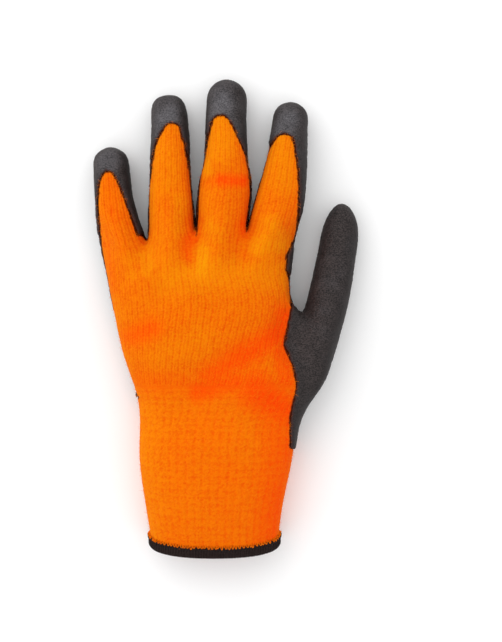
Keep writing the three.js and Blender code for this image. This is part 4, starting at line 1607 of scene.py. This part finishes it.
def add_overlock(parts, surface, hem, section):
    """The overlock stitches: slanted threads over the edge, and one thread along it."""
    random = np.random.default_rng(8)
    count = int(rim_length(surface) / (hem.stitch_pitch / MM))
    outline = np.array(section)
    lengths = np.concatenate([[0], np.cumsum(np.linalg.norm(np.diff(outline, axis=0), axis=1))])
    radius = hem.thread_radius / MM
    share = np.linspace(0, 1, 24)
    alongs = np.interp(share * lengths[-1], lengths, outline[:, 0])
    outs = np.interp(share * lengths[-1], lengths, outline[:, 1])
    lines = []
    for stitch in range(count):
        lean = 1.1 + random.uniform(-0.25, 0.25)
        centre = (stitch + random.uniform(-0.16, 0.16)) / count
        turns = centre + lean * (0.5 - share) / count
        wobble = random.uniform(-0.08, 0.1) * np.sin(np.pi * share)
        reach = alongs + random.uniform(-0.35, 0.25) * smooth(2.5, HEM_HEIGHT, alongs)
        points, normals = rim_frame(surface, turns % 1, reach)
        lines.append(lift(settle(points, normals, outs + wobble), radius))
    parts.add(*sweep_tube(lines, radius))
    turns = np.linspace(0, 1, 720, endpoint=False)
    for along, out, phase in HEM_THREADS:
        wave = 2 * np.pi * count * turns + phase
        points, normals = rim_frame(surface, turns, along + 0.3 * np.sin(wave))
        line = lift(settle(points, normals, out + 0.18 * np.cos(wave)), radius)
        parts.add(*sweep_tube(line[None], 0.8 * radius, closed=True))


def choose_fibre_roots(surface, count, random):
    """Places and normals on the bare knit, closer together along the edge of the latex."""
    chosen = surface.choose(lambda part, row: part == "hand" or (part != "thumb" and row < 4))
    faces = random.choice(chosen, count * 3)
    along = random.random(len(faces))
    points, normals = surface.sample(faces, random.random(len(faces)), along)
    bare = bare_depth(points)
    first = np.array([label[:2] == ("hand", 0) for label in surface.labels])
    off_hem = ~first[faces] | (along * surface.lengths["hand", 0] > HEM_HEIGHT + 1.5)
    keep = (bare > -0.2) & (points[:, 2] > 3.0) & off_hem
    keep &= (bare < FIBRE_BORDER) | (random.random(len(faces)) < FIBRE_SHARE)
    return points[keep][:count], normals[keep][:count]


def make_brushed_fibres(fibres, knit):
    """Loose fibres lifted off the knit and the cuff by brushing and wear."""
    surface = the_surface()
    random = np.random.default_rng(fibres.seed)
    points, normals = choose_fibre_roots(surface, fibres.count, random)
    count = len(points)
    aim = random.normal(size=(count, 3))
    aim -= normals * (aim * normals).sum(axis=1, keepdims=True)
    aim /= np.linalg.norm(aim, axis=1, keepdims=True)
    bend = random.normal(size=(count, 3)) * 0.45
    length = fibres.length / MM * random.uniform(0.5, 1.4, count)
    arch = random.uniform(0.05, 0.5, count)
    share = np.linspace(0, 1, FIBRE_POINTS)[None, :, None]
    rise = normals[:, None] * (arch[:, None, None] * np.sin(0.8 * np.pi * share))
    run = aim[:, None] * share + rise + bend[:, None] * share**2 * 0.5
    lines = points[:, None] + length[:, None, None] * run
    lines = lines + normals[:, None] * 0.05
    lines[:, :, 2] = np.maximum(lines[:, :, 2], 0.3)
    half = fibres.width / MM / 2 * (1 - 0.5 * share)
    side = np.cross(aim, normals)[:, None] * half
    ribbon = np.stack([lines - side, lines + side], axis=2)
    index = np.arange(count * FIBRE_POINTS * 2).reshape(count, FIBRE_POINTS, 2)
    quads = np.stack([index[:, :-1, 0], index[:, :-1, 1], index[:, 1:, 1], index[:, 1:, 0]], axis=2)
    parts = MeshParts()
    parts.add(ribbon.reshape(-1, 3), quads.reshape(-1, 4))
    piece = parts.make("brushed_fibres", fibre_finish(knit), surface.shift)
    stand_for(piece, "orange_knit")


# Stage

FLOOR_HALF = 3.0
FLOOR_LEVEL = -0.05 * MM
KEY_SIZE = 1.6
KEY_PLACE = (-0.7, 0.55, 0.75)
# The camera looks straight down at this place in the glove's own frame, in millimetres. At that
# level over the floor a picture this many pixels high has pixels of this size.
VIEW_CENTRE = (20.09, 130.32)
PIXEL_SIZE = 0.543 * MM
PIXEL_LEVEL = 20 * MM
IMAGE_HEIGHT = 642
SENSOR = 36.0


def floor_finish(colour):
    """A matt pale floor."""
    material, tree, shader = new_material("pale_floor")
    grain = add_noise(tree, 40 * MM, 2.0)
    shade = tuple(part * 0.985 for part in colour)
    fill(tree, shader, {
        "Base Color": mix_colour(tree, grain, opaque(colour), opaque(shade)),
        "Roughness": 1.0,
        "Specular IOR Level": 0.0,
    })
    return material


def make_floor(stage):
    """A wide floor, a hair under the glove."""
    mesh = bpy.data.meshes.new("studio_floor")
    directions = ((-1, -1), (1, -1), (1, 1), (-1, 1))
    corners = [(x * FLOOR_HALF, y * FLOOR_HALF, FLOOR_LEVEL) for x, y in directions]
    mesh.from_pydata(corners, [], [(0, 1, 2, 3)])
    mesh.materials.append(floor_finish(tuple(stage.floor_colour)))
    floor = bpy.data.objects.new("studio_floor", mesh)
    bpy.context.scene.collection.objects.link(floor)


def make_lights(stage):
    """An even white sky and one soft light from the upper left."""
    world = bpy.context.scene.world or bpy.data.worlds.new("soft_sky")
    bpy.context.scene.world = world
    world.use_nodes = True
    background = world.node_tree.nodes["Background"]
    background.inputs["Color"].default_value = (1.0, 1.0, 1.0, 1.0)
    background.inputs["Strength"].default_value = stage.sky_strength
    lamp = bpy.data.lights.new("soft_key", "AREA")
    lamp.shape = "SQUARE"
    lamp.size = KEY_SIZE
    lamp.energy = stage.key_power
    key = bpy.data.objects.new("soft_key", lamp)
    key.location = KEY_PLACE
    key.rotation_euler = (-Vector(key.location)).to_track_quat("-Z", "Y").to_euler()
    bpy.context.scene.collection.objects.link(key)


def make_camera(stage):
    """A camera straight over the glove."""
    lens = bpy.data.cameras.new("camera")
    lens.sensor_width = SENSOR
    shown = IMAGE_HEIGHT * PIXEL_SIZE
    lens.lens = SENSOR * (stage.camera_height - PIXEL_LEVEL) / shown
    camera = bpy.data.objects.new("camera", lens)
    across, along, _ = the_surface().shift
    centre = ((VIEW_CENTRE[0] + across) * MM, (VIEW_CENTRE[1] + along) * MM)
    camera.location = (*centre, stage.camera_height)
    bpy.context.scene.collection.objects.link(camera)
    bpy.context.scene.camera = camera


# Operators


def read_settings(context):
    return context.scene.glove


class GLOVE_OT_stage(bpy.types.Operator):
    """Set up the camera, the floor and the soft light"""

    bl_idname = "glove.stage"
    bl_label = "Set Up Studio"

    def execute(self, context):
        stage = read_settings(context).stage
        make_camera(stage)
        make_floor(stage)
        make_lights(stage)
        context.scene.view_settings.view_transform = "Standard"
        return {"FINISHED"}


class GLOVE_OT_knit(bpy.types.Operator):
    """Knit the hand of the glove in brushed orange yarn"""

    bl_idname = "glove.knit"
    bl_label = "Knit Hand"

    def execute(self, context):
        settings = read_settings(context)
        make_brushed_knit(settings.knit, settings.cuff)
        return {"FINISHED"}


class GLOVE_OT_cuff(bpy.types.Operator):
    """Knit the elastic ribbed cuff"""

    bl_idname = "glove.cuff"
    bl_label = "Knit Cuff"

    def execute(self, context):
        settings = read_settings(context)
        make_ribbed_cuff(settings.cuff, settings.knit)
        return {"FINISHED"}


class GLOVE_OT_latex(bpy.types.Operator):
    """Dip the palm, the thumb and the fingertips in latex"""

    bl_idname = "glove.latex"
    bl_label = "Dip in Latex"

    def execute(self, context):
        make_latex_skin(read_settings(context).latex)
        return {"FINISHED"}


class GLOVE_OT_hem(bpy.types.Operator):
    """Overlock the edge of the cuff in dark thread"""

    bl_idname = "glove.hem"
    bl_label = "Overlock Hem"

    def execute(self, context):
        make_overlocked_hem(read_settings(context).hem)
        return {"FINISHED"}


class GLOVE_OT_fibres(bpy.types.Operator):
    """Brush loose fibres up from the knit"""

    bl_idname = "glove.fibres"
    bl_label = "Brush Fibres"

    def execute(self, context):
        settings = read_settings(context)
        make_brushed_fibres(settings.fibres, settings.knit)
        return {"FINISHED"}


class GLOVE_PT_panel(bpy.types.Panel):
    """The glove's pieces, each with its settings"""

    bl_label = "Thermal Work Glove"
    bl_idname = "GLOVE_PT_panel"
    bl_space_type = "VIEW_3D"
    bl_region_type = "UI"
    bl_category = "Glove"

    def draw(self, context):
        settings = read_settings(context)
        for name, operator in STEPS:
            box = self.layout.box()
            box.operator(operator)
            group = getattr(settings, name)
            for key in group.bl_rna.properties.keys():
                if key not in ("rna_type", "name"):
                    box.prop(group, key)


STEPS = (
    ("stage", "glove.stage"),
    ("knit", "glove.knit"),
    ("cuff", "glove.cuff"),
    ("latex", "glove.latex"),
    ("hem", "glove.hem"),
    ("fibres", "glove.fibres"),
)
CLASSES = (
    GLOVE_PG_knit,
    GLOVE_PG_cuff,
    GLOVE_PG_latex,
    GLOVE_PG_hem,
    GLOVE_PG_fibres,
    GLOVE_PG_stage,
    GLOVE_PG_settings,
    GLOVE_OT_stage,
    GLOVE_OT_knit,
    GLOVE_OT_cuff,
    GLOVE_OT_latex,
    GLOVE_OT_hem,
    GLOVE_OT_fibres,
    GLOVE_PT_panel,
)


def register():
    for cls in CLASSES:
        bpy.utils.register_class(cls)
    bpy.types.Scene.glove = PointerProperty(type=GLOVE_PG_settings)


def unregister():
    del bpy.types.Scene.glove
    for cls in reversed(CLASSES):
        bpy.utils.unregister_class(cls)


def main():
    register()
    bpy.ops.glove.stage()
    bpy.ops.glove.knit()
    bpy.ops.glove.cuff()
    bpy.ops.glove.latex()
    bpy.ops.glove.hem()
    bpy.ops.glove.fibres()


if __name__ == "__main__":
    main()
